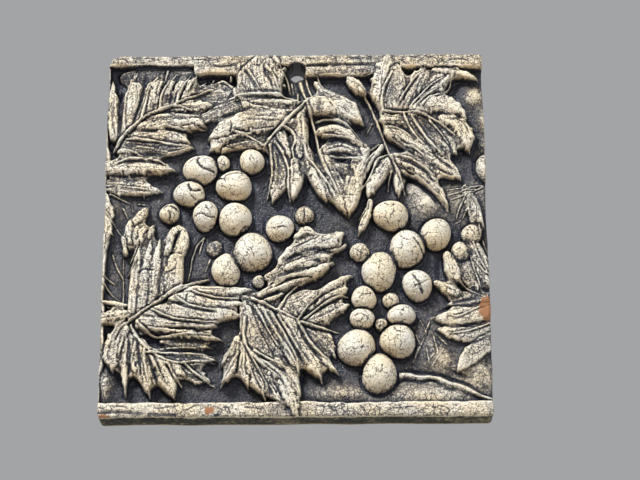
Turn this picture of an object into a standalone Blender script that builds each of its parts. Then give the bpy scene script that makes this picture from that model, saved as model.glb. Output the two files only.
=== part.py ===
"""A pressed clay tile with vine leaves and two bunches of grapes in relief.

The tile hangs on a wall: its flat back lies in the plane y = 0 with the origin
at the middle of the back, the carving faces -Y and +Z is up. Metres.
"""

import bmesh
import bpy
import numpy as np

# Sizes of the clay slab
TILE_WIDTH = 0.152
TILE_HEIGHT = 0.152
BAR_THICKNESS = 0.0132  # back of the tile to the face of the border bars
FIELD_DEPTH = 0.0050  # face of the bars down to the sunk ground
ARRIS_ROUND = 0.0011  # rounding where the face meets the sides
CORNER_ROUND = 0.0018  # rounding of three corners, seen from the front
WORN_CORNER_ROUND = 0.0060  # the upper left corner is rounder
EDGE_WAVE = 0.0004  # how far the hand-cut outline wanders

# The hole that the tile hangs by
HOLE_DIAMETER = 0.0065
HOLE_BELOW_TOP = 0.0070
HOLE_OFFSET = 0.0005  # to the right of the middle
HOLE_SIDES = 32

# The border, as heights of its bands
TOP_BAR = 0.0045
BARK_LAYER = 0.0042  # a second, lower layer that shows in places under the top bar
BOTTOM_BAR = 0.0065

# How far the carving stands over the face of the bars
GRAPE_RISE = 0.0026
LEAF_RISE = 0.0003
VEIN_RISE = 0.0009
VEIN_WIDTH = 0.0016

# Carving is drawn in millimetres on a square of this side, then fitted to the slab.
LAYOUT = 152.0
LAYOUT_DEPTH = 5.0  # depth of the sunk ground on the same drawing

GRID_CELLS = 230
SURFACE_TRIANGLES = 8600

CLAY_COLOUR = (0.62, 0.54, 0.40, 1.0)
CLAY_ROUGHNESS = 0.6

# One drawn millimetre in metres, across the slab and through it
ACROSS = (TILE_WIDTH + TILE_HEIGHT) / 2 / LAYOUT
THROUGH = FIELD_DEPTH / LAYOUT_DEPTH


def ease(x):
    x = np.clip(x, 0.0, 1.0)
    return x * x * (3.0 - 2.0 * x)


def curve(points, steps=6):
    """A smooth line through a few chosen points."""
    p = np.array(points, float)
    ends = np.vstack([2 * p[0] - p[1], p, 2 * p[-1] - p[-2]])
    line = []
    for a, b, c, d in zip(ends, ends[1:], ends[2:], ends[3:]):
        for t in np.arange(steps) / steps:
            bend = (c - a) * t + (2 * a - 5 * b + 4 * c - d) * t**2 + (3 * b - a - 3 * c + d) * t**3
            line.append(b + bend / 2)
    return np.array(line + [p[-1]])


def along(x, z, line):
    """Share of the way along the line, and distance from it, left of it positive."""
    step = np.diff(line, axis=0)
    length = np.hypot(step[:, 0], step[:, 1])
    start = np.append(0.0, np.cumsum(length))
    nearest = np.full(x.shape, np.inf)
    share = np.zeros(x.shape)
    side = np.zeros(x.shape)
    for (ax, az), (dx, dz), reach, before in zip(line, step, length, start):
        t = np.clip(((x - ax) * dx + (z - az) * dz) / reach**2, 0.0, 1.0)
        off_x = x - ax - t * dx
        off_z = z - az - t * dz
        gap = np.hypot(off_x, off_z)
        closer = gap < nearest
        nearest = np.where(closer, gap, nearest)
        share = np.where(closer, (before + t * reach) / start[-1], share)
        side = np.where(closer, np.where(dx * off_z >= dz * off_x, gap, -gap), side)
    return share, side


class Relief:
    """Heights over the face of the bars, in drawn millimetres, on a square grid."""

    def __init__(self, cells):
        self.line = np.linspace(-LAYOUT / 2, LAYOUT / 2, cells + 1)
        self.x, self.z = np.meshgrid(self.line, self.line, indexing="ij")
        self.h = np.full(self.x.shape, -LAYOUT_DEPTH)

    def window(self, points, reach):
        points = np.atleast_2d(points)
        low = np.searchsorted(self.line, points.min(axis=0) - reach)
        high = np.searchsorted(self.line, points.max(axis=0) + reach)
        return slice(low[0], high[0]), slice(low[1], high[1])

    def blade(self, points, left, right, level, blunt=0.8, root=0.45, plump=0.5):
        """One lobe of a leaf: a keeled blade from its root to its tip."""
        line = curve(points)
        w = self.window(line, max(left, right) + 1.5)
        if self.h[w].size == 0:
            return
        t, off = along(self.x[w], self.z[w], line)
        swell = root + (1 - root) * np.sin(np.pi / 2 * np.clip(t / 0.42, 0, 1))
        taper = np.cos(np.pi / 2 * np.clip((t - 0.42) / 0.58, 0, 1) ** 1.3) ** blunt
        half = np.maximum(np.where(off > 0, left, right) * np.minimum(swell, taper), 1e-3)
        inside = half - np.abs(off)
        across = np.clip(np.abs(off) / half, 0, 1)
        top = level + LEAF_RISE / THROUGH + plump * (1 - across**3) - 0.3 * plump
        made = -LAYOUT_DEPTH + (top + LAYOUT_DEPTH) * ease(inside / 0.9)
        here = self.h[w]
        cover = np.where(made > here, 1.0, ease(t / 0.2))
        self.h[w] = np.where(inside > 0, here + (made - here) * cover, here)

    def web(self, points, left, right, level=-2.2):
        """The thin flesh of a leaf, which joins the blades that stand on it."""
        self.blade(points, left, right, level, blunt=0.5, root=0.7, plump=0.2)

    def vein(self, points, width=1.0, rise=1.0):
        """A raised rib, as a share of the tile's usual vein."""
        line = curve(points)
        wide = VEIN_WIDTH / ACROSS / 2 * width
        w = self.window(line, wide * 4)
        t, off = along(self.x[w], self.z[w], line)
        height = VEIN_RISE / THROUGH * rise * (1 - 0.5 * t)
        self.h[w] += height * np.exp(-((off / wide) ** 2))

    def grape(self, x, z, half_x, half_z, crown=1.0):
        """A berry: the upper part of a ball, crown being its share of the full rise."""
        w = self.window((x, z), max(half_x, half_z) + 1)
        q = np.hypot((self.x[w] - x) / half_x, (self.z[w] - z) / half_z)
        top = -LAYOUT_DEPTH + (GRAPE_RISE / THROUGH + LAYOUT_DEPTH) * crown
        radius = min((half_x + half_z) / 2 * 0.92, top + LAYOUT_DEPTH)
        cap = top - radius * (1 - np.sqrt(np.clip(1 - q**2, 0, 1)))
        self.h[w] = np.where(q < 1, np.maximum(cap, self.h[w]), self.h[w])

    def swell(self, x, z, half_x, half_z, height):
        """A soft rise of the ground."""
        q = ((self.x - x) / half_x) ** 2 + ((self.z - z) / half_z) ** 2
        self.h += height * np.exp(-q)

    def bar(self, low, high, start, end, level=0.0):
        """A band of the border between two heights, with worn edges."""
        inside = np.minimum(self.z - low, high - self.z)
        inside = np.minimum(inside, np.minimum(self.x - start, end - self.x))
        made = -LAYOUT_DEPTH + (level + LAYOUT_DEPTH) * ease(inside / 1.2 + 0.2)
        self.h = np.where(inside > -0.2, np.maximum(made, self.h), self.h)


def carve_ground(tile):
    """Soft rises of the ground near the right and lower edges."""
    tile.swell(72, 57.5, 5, 4.5, 3.2)
    tile.swell(77, 47, 3.5, 6, 3.5)
    tile.swell(77, 37, 3, 3, 2.5)
    tile.swell(-74, -62, 3, 7.5, 3.2)
    tile.swell(50, -68, 24, 6, 3.0)
    tile.swell(73, -60, 9, 6, 2.6)
    tile.swell(57, -53, 5, 6, 2.4)
    tile.swell(14, -66, 12, 3.5, 1.8)
    tile.swell(65, 14, 14, 9, 2.2)
    tile.swell(50, 10, 7, 9, 2.0)
    tile.swell(-74, 8, 4, 10, 2.4)


def carve_border(tile):
    half_x = LAYOUT / 2
    half_z = LAYOUT / 2
    top = half_z - TOP_BAR / TILE_HEIGHT * LAYOUT
    bark = top - BARK_LAYER / TILE_HEIGHT * LAYOUT
    bottom = -half_z + BOTTOM_BAR / TILE_HEIGHT * LAYOUT
    tile.bar(bark, top, -40, -22, level=-0.8)
    tile.bar(bark - 0.5, top, 4, 35, level=-1.1)
    tile.bar(top, half_z + 2, -half_x - 2, half_x + 2)
    tile.bar(-half_z - 2, bottom, -half_x - 2, half_x + 2)
    tile.bar(-half_z, half_z, -half_x - 2, -half_x + 1.6, level=-1.3)


def carve_upper_left_leaf(tile):
    tile.blade([(-24, 58), (-32, 57.5), (-40, 58)], 6, 7, -2.9)
    tile.web([(-60, 46), (-54, 58), (-48, 71)], 12, 9)
    tile.web([(-72, 38), (-55, 40), (-38, 42)], 9, 8)
    tile.blade([(-76, 20.5), (-68, 19.5), (-58, 17)], 2.2, 2.4, -2.8)
    tile.blade([(-73.5, 40), (-74, 54), (-74.5, 66.5)], 1.6, 2.2, -0.7)
    tile.blade([(-68.5, 42), (-66.3, 55), (-64.3, 70)], 2.6, 3.4, -0.5)
    tile.blade([(-62.5, 47), (-61, 57), (-57, 68.5)], 1.8, 2.2, -0.9)
    tile.blade([(-57.5, 52), (-56, 60), (-52.5, 69.5)], 2.3, 2.4, -0.8)
    tile.blade([(-53, 54), (-51.5, 61), (-48.5, 70.5)], 1.8, 2.0, -0.9)
    tile.blade([(-48.5, 55), (-46.5, 62), (-44, 69.5)], 1.7, 1.9, -0.8)
    tile.blade([(-45, 57), (-43, 62.5), (-41, 69.5)], 1.6, 1.8, -0.9)
    tile.blade([(-76, 27.5), (-62, 27.3), (-46.5, 25.8)], 4.0, 3.8, -0.6)
    tile.blade([(-69, 39.5), (-55, 37.5), (-39.5, 36)], 2.6, 3.2, -1.2)
    tile.blade([(-64, 43), (-49, 44), (-34.5, 43.2)], 4.2, 3.8, -0.8)
    tile.blade([(-52, 53), (-43, 53.6), (-32.8, 54.2)], 2.4, 3.2, -0.6, blunt=0.5)
    tile.vein([(-73, 35), (-69, 41), (-60, 49.5), (-50, 53.8), (-42, 57.5), (-33, 62)])
    tile.vein([(-72, 28.5), (-62, 31), (-50, 27)], rise=0.6)


def carve_top_leaf(tile):
    tile.web([(6, 50), (16, 46), (28, 36)], 8, 12)
    tile.web([(0, 47), (0, 32), (-1.5, 17)], 8, 8)
    tile.web([(5, 50), (10, 35), (19, 12)], 5, 5)
    tile.blade([(-37, 49), (-28, 53.5), (-17, 56.5)], 2.6, 2.6, -1.8)
    tile.blade([(-14, 57), (-15, 66), (-15, 78)], 11, 10.5, -0.2, blunt=0.35, root=0.85)
    tile.blade([(-1, 55.3), (-9, 55.3), (-17, 54.6)], 1.6, 1.6, -0.3)
    tile.blade([(-1, 50), (-13, 48), (-25, 44.5), (-32.5, 39), (-34.8, 32.5)], 4.6, 4.8, 0, blunt=0.6)
    tile.blade([(-11, 38.5), (-20, 39.5), (-29, 37)], 2.6, 2.2, -1.7)
    tile.blade([(-8.5, 39), (-6.5, 27), (-10.6, 11)], 3.0, 3.0, -0.8)
    tile.blade([(0.5, 51), (1.5, 42), (0.5, 29)], 3.0, 2.8, -0.9)
    tile.blade([(-0.3, 31), (-0.3, 21), (-0.6, 12.5)], 2.2, 2.2, -0.5)
    tile.blade([(4.5, 31), (9, 22), (10.2, 9)], 3.6, 3.4, -0.4)
    tile.blade([(14, 27), (19, 17), (21, 5.5)], 5.0, 4.0, 0.1)
    tile.blade([(11, 35), (19, 35.5), (27, 30.5)], 3.0, 3.0, -1.6)
    tile.blade([(14, 27), (19, 27.5), (25, 22)], 2.2, 3.0, -1.6)
    tile.blade([(9, 44.5), (18, 44.5), (29, 35)], 4.2, 3.2, -1.0)
    tile.blade([(6, 54.5), (16, 54), (27.2, 46)], 3.6, 4.2, -0.2)
    tile.blade([(9, 65), (13, 61), (21, 58.5)], 1.4, 2.0, -2.0)
    tile.vein([(4.5, 55), (2, 61), (0, 66), (-3.5, 70), (-7, 74)])
    tile.vein([(0.5, 57.5), (-8, 58.3), (-16, 58), (-27, 57)], rise=0.8)
    tile.vein([(3.5, 54.5), (-5, 45.3), (-9, 40.7), (-13, 34)], rise=1.1)
    tile.vein([(4.5, 55), (8.5, 41), (11.5, 28), (17.5, 16), (20, 10)], rise=1.3)


def carve_right_leaf(tile):
    tile.web([(40, 50), (48, 60), (54, 71)], 8, 8)
    tile.web([(38, 42), (50, 38), (63, 29)], 9, 9)
    tile.web([(38, 32), (46, 26), (57, 14)], 5, 6)
    tile.web([(37, 33), (31, 22), (27, 13)], 5, 5)
    tile.blade([(44, 22), (49, 16), (53, 9)], 3.5, 3.5, -2.4)
    tile.blade([(44, 49), (53, 42), (64, 33)], 5.0, 6.0, -1.7)
    tile.blade([(38, 43), (50, 35), (66, 21.5)], 4.0, 3.8, -0.5)
    tile.blade([(40, 33), (50, 27.5), (57, 20)], 3.0, 3.0, -0.6)
    tile.blade([(42, 27), (52, 20), (61, 8.5)], 1.8, 2.2, -0.4)
    tile.blade([(58, 48), (66, 43), (69.5, 32.5)], 3.5, 4.5, 0.3, blunt=0.55)
    tile.blade([(50, 50.5), (58, 53.5), (69, 48.5)], 5.2, 4.0, 0.7, blunt=0.55, plump=1.2)
    tile.blade([(59, 68.6), (67, 68.4), (74.6, 65.3)], 1.8, 1.8, -0.4)
    tile.blade([(40, 51), (48, 62), (55, 69.8)], 4.5, 4.0, -0.6)
    tile.blade([(46, 51), (54, 60), (63.8, 67.3)], 3.0, 4.2, -0.3, blunt=0.5)
    tile.blade([(37, 50), (38.5, 62), (39.6, 76.9)], 6.8, 7.5, 0.1, blunt=1.0)
    tile.blade([(27, 59.5), (23.5, 61.5), (21, 67)], 2.8, 2.8, -1.0)
    tile.blade([(40, 26), (40.5, 20), (40.5, 13.5)], 2.6, 2.6, -1.4)
    tile.blade([(35, 37), (29, 27), (24.5, 15.5)], 1.8, 1.8, -0.5)
    tile.blade([(37.5, 30), (32.5, 20.5), (28.2, 13.6)], 2.3, 2.3, -0.7, blunt=0.5)
    tile.blade([(29.5, 12.5), (28, 6), (24.4, -2.3)], 1.9, 1.9, -1.2)
    tile.vein([(26, 60.5), (31, 51), (35, 41), (38.5, 31), (43.3, 16)], rise=1.3)
    tile.vein([(35, 50), (48, 49.8), (58, 45.5), (62.5, 41.5)])
    tile.vein([(35, 51), (35.3, 58), (38, 66.5)], rise=0.8)
    tile.vein([(43.5, 50), (48.5, 41), (53, 34.5)], rise=0.8)
    tile.vein([(47, 48.8), (54, 37.5), (60, 29.8)], rise=0.8)


def carve_left_buds(tile):
    tile.blade([(-63, 4.5), (-60.3, 7.3), (-58, 10.2)], 1.7, 1.9, -1.2)
    tile.blade([(-65.3, -4), (-65.5, 1), (-65.5, 6.2)], 1.5, 1.6, -1.2)
    tile.blade([(-61.5, -4.5), (-60.5, -1), (-59, 3)], 1.8, 1.8, -1.0)
    tile.blade([(-67, -10), (-67.6, -6), (-68.4, -2)], 1.5, 1.5, -1.2)
    tile.web([(-60, -36), (-56, -20), (-53, -5)], 6, 9)
    tile.blade([(-64, -36), (-62.5, -22), (-59.5, -9)], 2.0, 2.2, -0.9)
    tile.blade([(-60.5, -36), (-58.5, -20), (-56, -5)], 2.2, 2.4, -0.6)
    tile.blade([(-56, -33), (-54.5, -18), (-52.2, -3.5)], 2.2, 2.0, -0.6)
    tile.blade([(-48, -26), (-47.5, -17), (-47, -9.5)], 3.8, 3.6, -0.7, blunt=0.5)
    tile.blade([(-48, -10), (-46, -4), (-44.5, 2.9)], 3.6, 3.6, -1.0, blunt=0.4)
    tile.vein([(-36, -1.5), (-41, -11), (-42.5, -21)], rise=1.5)
    tile.vein([(-67.3, -33), (-67.8, -20), (-68, -8)], rise=1.4)


def carve_lower_left_leaf(tile):
    tile.blade([(-56, -51), (-44, -53), (-31, -53)], 4.0, 5.0, -2.3)
    tile.web([(-60, -37), (-45, -36), (-24, -33)], 9, 8)
    tile.web([(-62, -40), (-58, -52), (-55, -64)], 9, 7)
    tile.blade([(-65, -34), (-71, -35.5), (-78, -37)], 2.2, 3.0, -0.5)
    tile.blade([(-42, -24.5), (-30, -25), (-16.3, -24.8)], 1.9, 1.8, -0.5)
    tile.blade([(-58, -39.5), (-44, -41.5), (-27.3, -44.3)], 1.6, 1.8, -0.3)
    tile.blade([(-60, -36), (-46, -38.5), (-29, -39)], 2.6, 2.6, -0.2)
    tile.blade([(-56, -32.5), (-40, -34), (-20, -35.3)], 3.0, 3.0, 0)
    tile.blade([(-47, -27.5), (-33, -29.8), (-19.2, -30.4)], 2.6, 2.6, 0)
    tile.blade([(-67, -40), (-70.5, -50), (-70, -58.5)], 2.4, 2.4, 0.2)
    tile.blade([(-66, -44), (-66, -55), (-65, -68)], 1.0, 1.3, -0.6)
    tile.blade([(-63.5, -44), (-63, -52), (-63, -59.5)], 2.0, 2.2, -0.6)
    tile.blade([(-59, -46), (-57.5, -57), (-55.7, -68)], 2.2, 2.6, -0.5)
    tile.blade([(-54.5, -51), (-49.5, -60), (-46.3, -68.3)], 3.0, 2.6, -0.2)
    tile.vein([(-34, -19.5), (-45, -23.5), (-55, -30.5), (-65, -37.5), (-72, -46)], rise=1.3)
    tile.vein([(-64, -39), (-57, -48.5), (-47, -53.8), (-38, -58), (-31.5, -63.5)], rise=0.8)


def carve_lower_leaf(tile):
    tile.web([(-10, -30), (-5, -45), (-1, -66)], 9, 9)
    tile.web([(-6, -26), (4, -18), (14, -12)], 7, 6)
    tile.blade([(4, -39), (11, -45), (16, -53)], 3.5, 3.0, -2.0)
    tile.blade([(5, -36.5), (14, -33.5), (21, -29)], 3.0, 3.0, -1.9)
    tile.blade([(8, -28), (15, -21.5), (23.2, -18.1)], 1.6, 2.0, -0.5)
    tile.blade([(-5, -11), (6, -5.5), (19.5, -0.5)], 4.5, 3.2, -0.4, blunt=0.5)
    tile.blade([(-8, -18), (4, -14.5), (15.5, -11.5)], 2.6, 3.0, -0.7)
    tile.blade([(-12, -27.5), (1, -21), (15, -16)], 2.0, 2.2, -0.2)
    tile.blade([(-4, -32), (1, -29.5), (6, -25.5)], 2.8, 3.4, -0.6, blunt=0.5)
    tile.blade([(-24, -44.5), (-26, -50), (-28, -55.8)], 1.5, 1.6, -0.7)
    tile.blade([(-22, -47), (-25, -56), (-28.6, -64)], 1.9, 1.7, -0.6)
    tile.blade([(-20.3, -44), (-20, -56), (-18.8, -65.2)], 1.8, 1.6, -0.6)
    tile.blade([(-17, -52), (-14, -61), (-11.3, -69.8)], 2.0, 2.0, -0.4)
    tile.blade([(-15, -49), (-8, -58), (0.5, -74.2)], 4.0, 3.5, 0)
    tile.blade([(-1, -36), (7, -49), (17.5, -59.5)], 1.3, 1.5, -0.6)
    tile.blade([(-6, -34.5), (2, -48), (10.8, -62.7)], 2.8, 2.8, -0.1)
    tile.blade([(-14.5, -31), (-6, -44), (2, -59.7)], 2.5, 2.5, -0.2)
    tile.blade([(-17.5, -33), (-15.5, -42), (-9.5, -52)], 3.2, 3.2, -0.3)
    tile.vein([(-16, -28.5), (-7, -33.5), (3, -38)], rise=1.2)
    tile.vein([(1, -37.5), (6, -47), (13, -54)])
    tile.vein([(3.5, -36.5), (12, -30), (20, -26)])
    tile.vein([(2.5, -38), (17.5, -41.5)])


def carve_right_edge(tile):
    tile.blade([(70, -12), (71, -19), (73, -27)], 4.0, 5.0, -2.2)
    tile.blade([(58, -11.5), (61.5, -16), (65, -22.5)], 3.0, 2.4, -0.8, blunt=0.5)
    tile.blade([(54.5, -21.8), (60, -23.5), (65, -28)], 1.8, 2.2, -0.8)
    tile.blade([(72.3, 9.5), (73.3, 6), (74, 2.5)], 1.2, 1.2, -0.8)
    tile.blade([(78, -33), (67, -33.5), (58, -34.5)], 2.0, 2.6, -1.0)
    tile.blade([(78, -36.5), (67, -39), (55.5, -36.5)], 2.4, 2.2, -0.6)
    tile.blade([(78, -42), (68, -44.5), (56, -42.5)], 3.0, 2.4, -0.5)
    tile.blade([(78, -46.5), (70, -51.5), (62.3, -58)], 1.6, 2.4, -0.1)
    tile.blade([(50, -46), (47.5, -51), (45, -56)], 1.6, 2.6, -2.0)
    tile.vein([(39.5, -59), (52, -60), (63, -64), (76, -69.5)], rise=2.2, width=1.2)


def carve_grapes(tile):
    """Two bunches. Each berry is placed with its half width and half height."""
    tile.grape(-38, 26.5, 6.7, 6.3)
    tile.grape(-29, 29.5, 2.6, 3.2, crown=0.6)
    tile.grape(-17.5, 30, 5, 5, crown=0.85)
    tile.grape(-24.5, 19.5, 6.8, 6.5)
    tile.grape(-42.3, 16.2, 6, 5.5, crown=0.9)
    tile.grape(-50, 8, 4, 4, crown=0.7)
    tile.grape(-35.8, 7, 4.8, 6.3, crown=0.9)
    tile.grape(-24, 5.5, 6.3, 6.8)
    tile.grape(-27.3, -16, 5.6, 6.6, crown=0.95)
    tile.grape(-17, -8.5, 7.4, 8.3)
    tile.grape(-32, -6.5, 3.5, 3.5, crown=0.35)
    tile.grape(-6.3, 1.5, 5.6, 5.3, crown=0.85)
    tile.grape(3.5, 7.2, 3.8, 4, crown=0.5)
    tile.grape(-14.5, -20.5, 2.5, 2.5, crown=0.45)
    tile.grape(37.8, 6.5, 6.8, 6.4)
    tile.grape(55.5, -1.5, 6, 6.5, crown=0.95)
    tile.grape(43.8, -7.5, 7, 7.8)
    tile.grape(32.8, -16.8, 6.8, 8)
    tile.grape(47.7, -22.7, 5.7, 6.3, crown=0.95)
    tile.grape(25.3, -8.8, 4, 3.9, crown=0.6)
    tile.grape(26.7, -28, 4.8, 4.8, crown=0.85)
    tile.grape(37.3, -29, 3.3, 3.3, crown=0.6)
    tile.grape(26, -36.5, 4.8, 4.2, crown=0.85)
    tile.grape(41.3, -35, 5.3, 4.3, crown=0.85)
    tile.grape(33.3, -38.7, 2.4, 2.7, crown=0.5)
    tile.grape(23.7, -48, 7.5, 7.2)
    tile.grape(39.7, -45.5, 7, 6.5)
    tile.grape(32.3, -58.8, 6.7, 8)
    tile.grape(69.5, -1.5, 3.8, 4.2, crown=0.65)
    tile.grape(65, -9, 3.8, 4.3, crown=0.65)
    tile.grape(78, 27, 6, 6.5, crown=0.7)


def carved_surface():
    tile = Relief(GRID_CELLS)
    carve_ground(tile)
    carve_border(tile)
    carve_upper_left_leaf(tile)
    carve_top_leaf(tile)
    carve_right_leaf(tile)
    carve_left_buds(tile)
    carve_right_edge(tile)
    carve_lower_left_leaf(tile)
    carve_lower_leaf(tile)
    carve_grapes(tile)
    return tile


def outline(u, v):
    """Places on the unit square, -1 to 1, moved to the slab's rounded, hand-cut outline in metres."""
    x = u * TILE_WIDTH / 2
    z = v * TILE_HEIGHT / 2
    for side_x, side_z in ((-1, 1), (1, 1), (-1, -1), (1, -1)):
        r = WORN_CORNER_ROUND if (side_x, side_z) == (-1, 1) else CORNER_ROUND
        a = np.clip((x * side_x - TILE_WIDTH / 2 + r) / r, 0, 1)
        b = np.clip((z * side_z - TILE_HEIGHT / 2 + r) / r, 0, 1)
        x, z = x - side_x * r * a * (1 - np.sqrt(1 - b**2 / 2)), z - side_z * r * b * (1 - np.sqrt(1 - a**2 / 2))
    wave_x = EDGE_WAVE * (0.6 * np.sin(5.1 * v + 0.8) + 0.4 * np.sin(13 * v)) * np.abs(u) ** 12
    wave_z = EDGE_WAVE * (0.6 * np.sin(4.3 * u + 2.0) + 0.4 * np.sin(11 * u)) * np.abs(v) ** 12
    return x - np.abs(wave_x) * np.sign(u), z - np.abs(wave_z) * np.sign(v)


def rounded_arris(u, v):
    """How far the face falls away next to the sides."""
    to_side = np.minimum((1 - np.abs(u)) * TILE_WIDTH, (1 - np.abs(v)) * TILE_HEIGHT) / 2
    short = np.clip(1 - to_side / ARRIS_ROUND, 0, 1)
    return ARRIS_ROUND * (1 - np.sqrt(1 - 0.96 * short**2))


def clear_scene():
    for obj in list(bpy.data.objects):
        bpy.data.objects.remove(obj, do_unlink=True)


def new_collection(name, hidden=False):
    collection = bpy.data.collections.new(name)
    bpy.context.scene.collection.children.link(collection)
    collection.hide_render = hidden
    return collection


def move_to(obj, collection):
    for other in list(obj.users_collection):
        other.objects.unlink(obj)
    collection.objects.link(obj)


def clay():
    material = bpy.data.materials.new("antiqued_clay")
    material.use_nodes = True
    shader = material.node_tree.nodes["Principled BSDF"]
    shader.inputs["Base Color"].default_value = CLAY_COLOUR
    shader.inputs["Roughness"].default_value = CLAY_ROUGHNESS
    shader.inputs["Metallic"].default_value = 0.0
    return material


def face_of_tile(name):
    """The carved front as an open surface, reduced to the triangles that a solid may hold."""
    bpy.ops.mesh.primitive_grid_add(x_subdivisions=GRID_CELLS, y_subdivisions=GRID_CELLS, size=2)
    face = bpy.context.object
    face.name = name
    count = len(face.data.vertices)
    flat = np.empty(count * 3)
    face.data.vertices.foreach_get("co", flat)
    flat = flat.reshape(-1, 3)
    u, v = np.clip(flat[:, 0], -1, 1), np.clip(flat[:, 1], -1, 1)
    column = np.rint((u + 1) / 2 * GRID_CELLS).astype(int)
    row = np.rint((v + 1) / 2 * GRID_CELLS).astype(int)
    heights = carved_surface().h[column, row]
    x, z = outline(u, v)
    y = -(BAR_THICKNESS + heights * THROUGH - rounded_arris(u, v))
    face.data.vertices.foreach_set("co", np.column_stack([x, y, z]).ravel())
    face.data.update()

    reduce = face.modifiers.new("reduce", "DECIMATE")
    reduce.ratio = SURFACE_TRIANGLES / (2 * GRID_CELLS**2)
    bpy.ops.object.modifier_apply(modifier=reduce.name)
    return face


def close_to_back(obj):
    """Walls straight back from the face's border and a flat back in the plane y = 0."""
    mesh = bmesh.new()
    mesh.from_mesh(obj.data)
    border = [edge for edge in mesh.edges if edge.is_boundary]
    walls = bmesh.ops.extrude_edge_only(mesh, edges=border)["geom"]
    for vertex in (item for item in walls if isinstance(item, bmesh.types.BMVert)):
        vertex.co.y = 0.0
    back = [item for item in walls if isinstance(item, bmesh.types.BMEdge) and item.is_boundary]
    bmesh.ops.edgeloop_fill(mesh, edges=back)
    bmesh.ops.recalc_face_normals(mesh, faces=mesh.faces)
    mesh.to_mesh(obj.data)
    mesh.free()


def hanging_hole(collection):
    """The round cutter for the hole, longer than the slab is thick."""
    depth = BAR_THICKNESS * 3
    bpy.ops.mesh.primitive_cylinder_add(
        vertices=HOLE_SIDES,
        radius=HOLE_DIAMETER / 2,
        depth=depth,
        location=(HOLE_OFFSET, -BAR_THICKNESS / 2, TILE_HEIGHT / 2 - HOLE_BELOW_TOP),
        rotation=(np.pi / 2, 0, 0),
    )
    cutter = bpy.context.object
    cutter.name = "hanging_hole"
    cutter.hide_render = True
    cutter.display_type = "WIRE"
    move_to(cutter, collection)
    return cutter


def build():
    clear_scene()
    parts = new_collection("relief_tile")
    cutters = new_collection("cutters", hidden=True)

    tile = face_of_tile("tile")
    close_to_back(tile)
    move_to(tile, parts)
    tile.data.materials.append(clay())

    drill = tile.modifiers.new("hanging hole", "BOOLEAN")
    drill.operation = "DIFFERENCE"
    drill.solver = "EXACT"
    drill.object = hanging_hole(cutters)


build()
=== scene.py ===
"""Looks of the pressed clay tile with vine leaves and grapes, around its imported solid."""

import math

import bpy
import numpy as np
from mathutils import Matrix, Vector


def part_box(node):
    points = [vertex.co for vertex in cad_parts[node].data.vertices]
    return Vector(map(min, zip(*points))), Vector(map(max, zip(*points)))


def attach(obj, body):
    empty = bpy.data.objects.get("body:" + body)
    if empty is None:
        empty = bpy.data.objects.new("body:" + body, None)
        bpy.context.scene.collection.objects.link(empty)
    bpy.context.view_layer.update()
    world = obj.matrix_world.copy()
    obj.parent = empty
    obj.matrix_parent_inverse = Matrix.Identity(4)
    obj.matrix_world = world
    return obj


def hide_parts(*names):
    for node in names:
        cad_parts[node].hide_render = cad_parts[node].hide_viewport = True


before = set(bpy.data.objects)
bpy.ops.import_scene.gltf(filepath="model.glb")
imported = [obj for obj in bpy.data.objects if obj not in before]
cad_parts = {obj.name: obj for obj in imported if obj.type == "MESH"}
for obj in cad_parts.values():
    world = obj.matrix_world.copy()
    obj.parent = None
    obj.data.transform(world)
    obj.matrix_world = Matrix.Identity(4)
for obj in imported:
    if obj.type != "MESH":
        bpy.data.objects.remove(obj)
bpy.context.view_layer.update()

# The tile
# One slab of red clay pressed in a mould and touched up by hand: bars above and
# below, four vine leaves and two bunches of grapes on a sunk ground, and a nail hole.

TILE_LOW, TILE_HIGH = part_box("tile")
WIDTH = TILE_HIGH[0] - TILE_LOW[0]
HEIGHT = TILE_HIGH[2] - TILE_LOW[2]
MM = 0.001
THICK = 13.2 * MM  # back of the tile to the face of the bars
DEPTH = 5.0  # face of the bars down to the sunk ground, in drawn millimetres
LAYOUT = 152.0  # side of the square that the carving is drawn on, in millimetres

ARRIS = 1.1 * MM
CORNER = 1.8 * MM
WORN_CORNER = 6.0 * MM
EDGE_WAVE = 0.4 * MM
HOLE_RADIUS = 3.25 * MM
HOLE_BELOW_TOP = 7.0 * MM
HOLE_OFFSET = 0.5 * MM

# Sizes of the carving, in drawn millimetres. Rises count from the face of the bars.
LEAF_RISE = 0.3
LOBE_EDGE = 0.65  # width of the rolled edge of a lobe
RIB_RISE = 0.5
HAIR_RISE = 0.34
TOOTH = 1.1  # how far the teeth of a leaf's edge stand out
TOOTH_EVERY = 3.3
TRENCH_DEPTH, TRENCH_WIDTH = 0.15, 0.45  # cut around a lobe
FLESH_REACH = 2.0  # how far flesh spreads from the lobes
FLESH_BELOW = 0.3  # how far it lies below them
VEIN_RISE = 0.9
VEIN_WIDTH = 0.45
GRAPE_RISE = 2.6
RING_DEPTH, RING_WIDTH = 0.9, 0.8  # pressed around a berry
BERRY_SPREAD = 1.05  # a berry's size over the size it is placed with
GRAIN_WIDTH, GRAIN_LENGTH = 0.7, 7.0  # streaks of wash along a lobe
SPECKLE = 1.0  # grain of the wash where no lobe or rib leads it
GLAZE_FLOW = 0.18  # how far the glaze rounds the edges under it

GRID_CELLS = 620
CELL = LAYOUT / GRID_CELLS
MOST_TRIANGLES = 190000

random = np.random.default_rng(6)


def ease(x):
    """0 up to x = 0, 1 from x = 1 on, and a smooth rise between them."""
    x = np.clip(x, 0.0, 1.0)
    return x * x * (3.0 - 2.0 * x)


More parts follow.
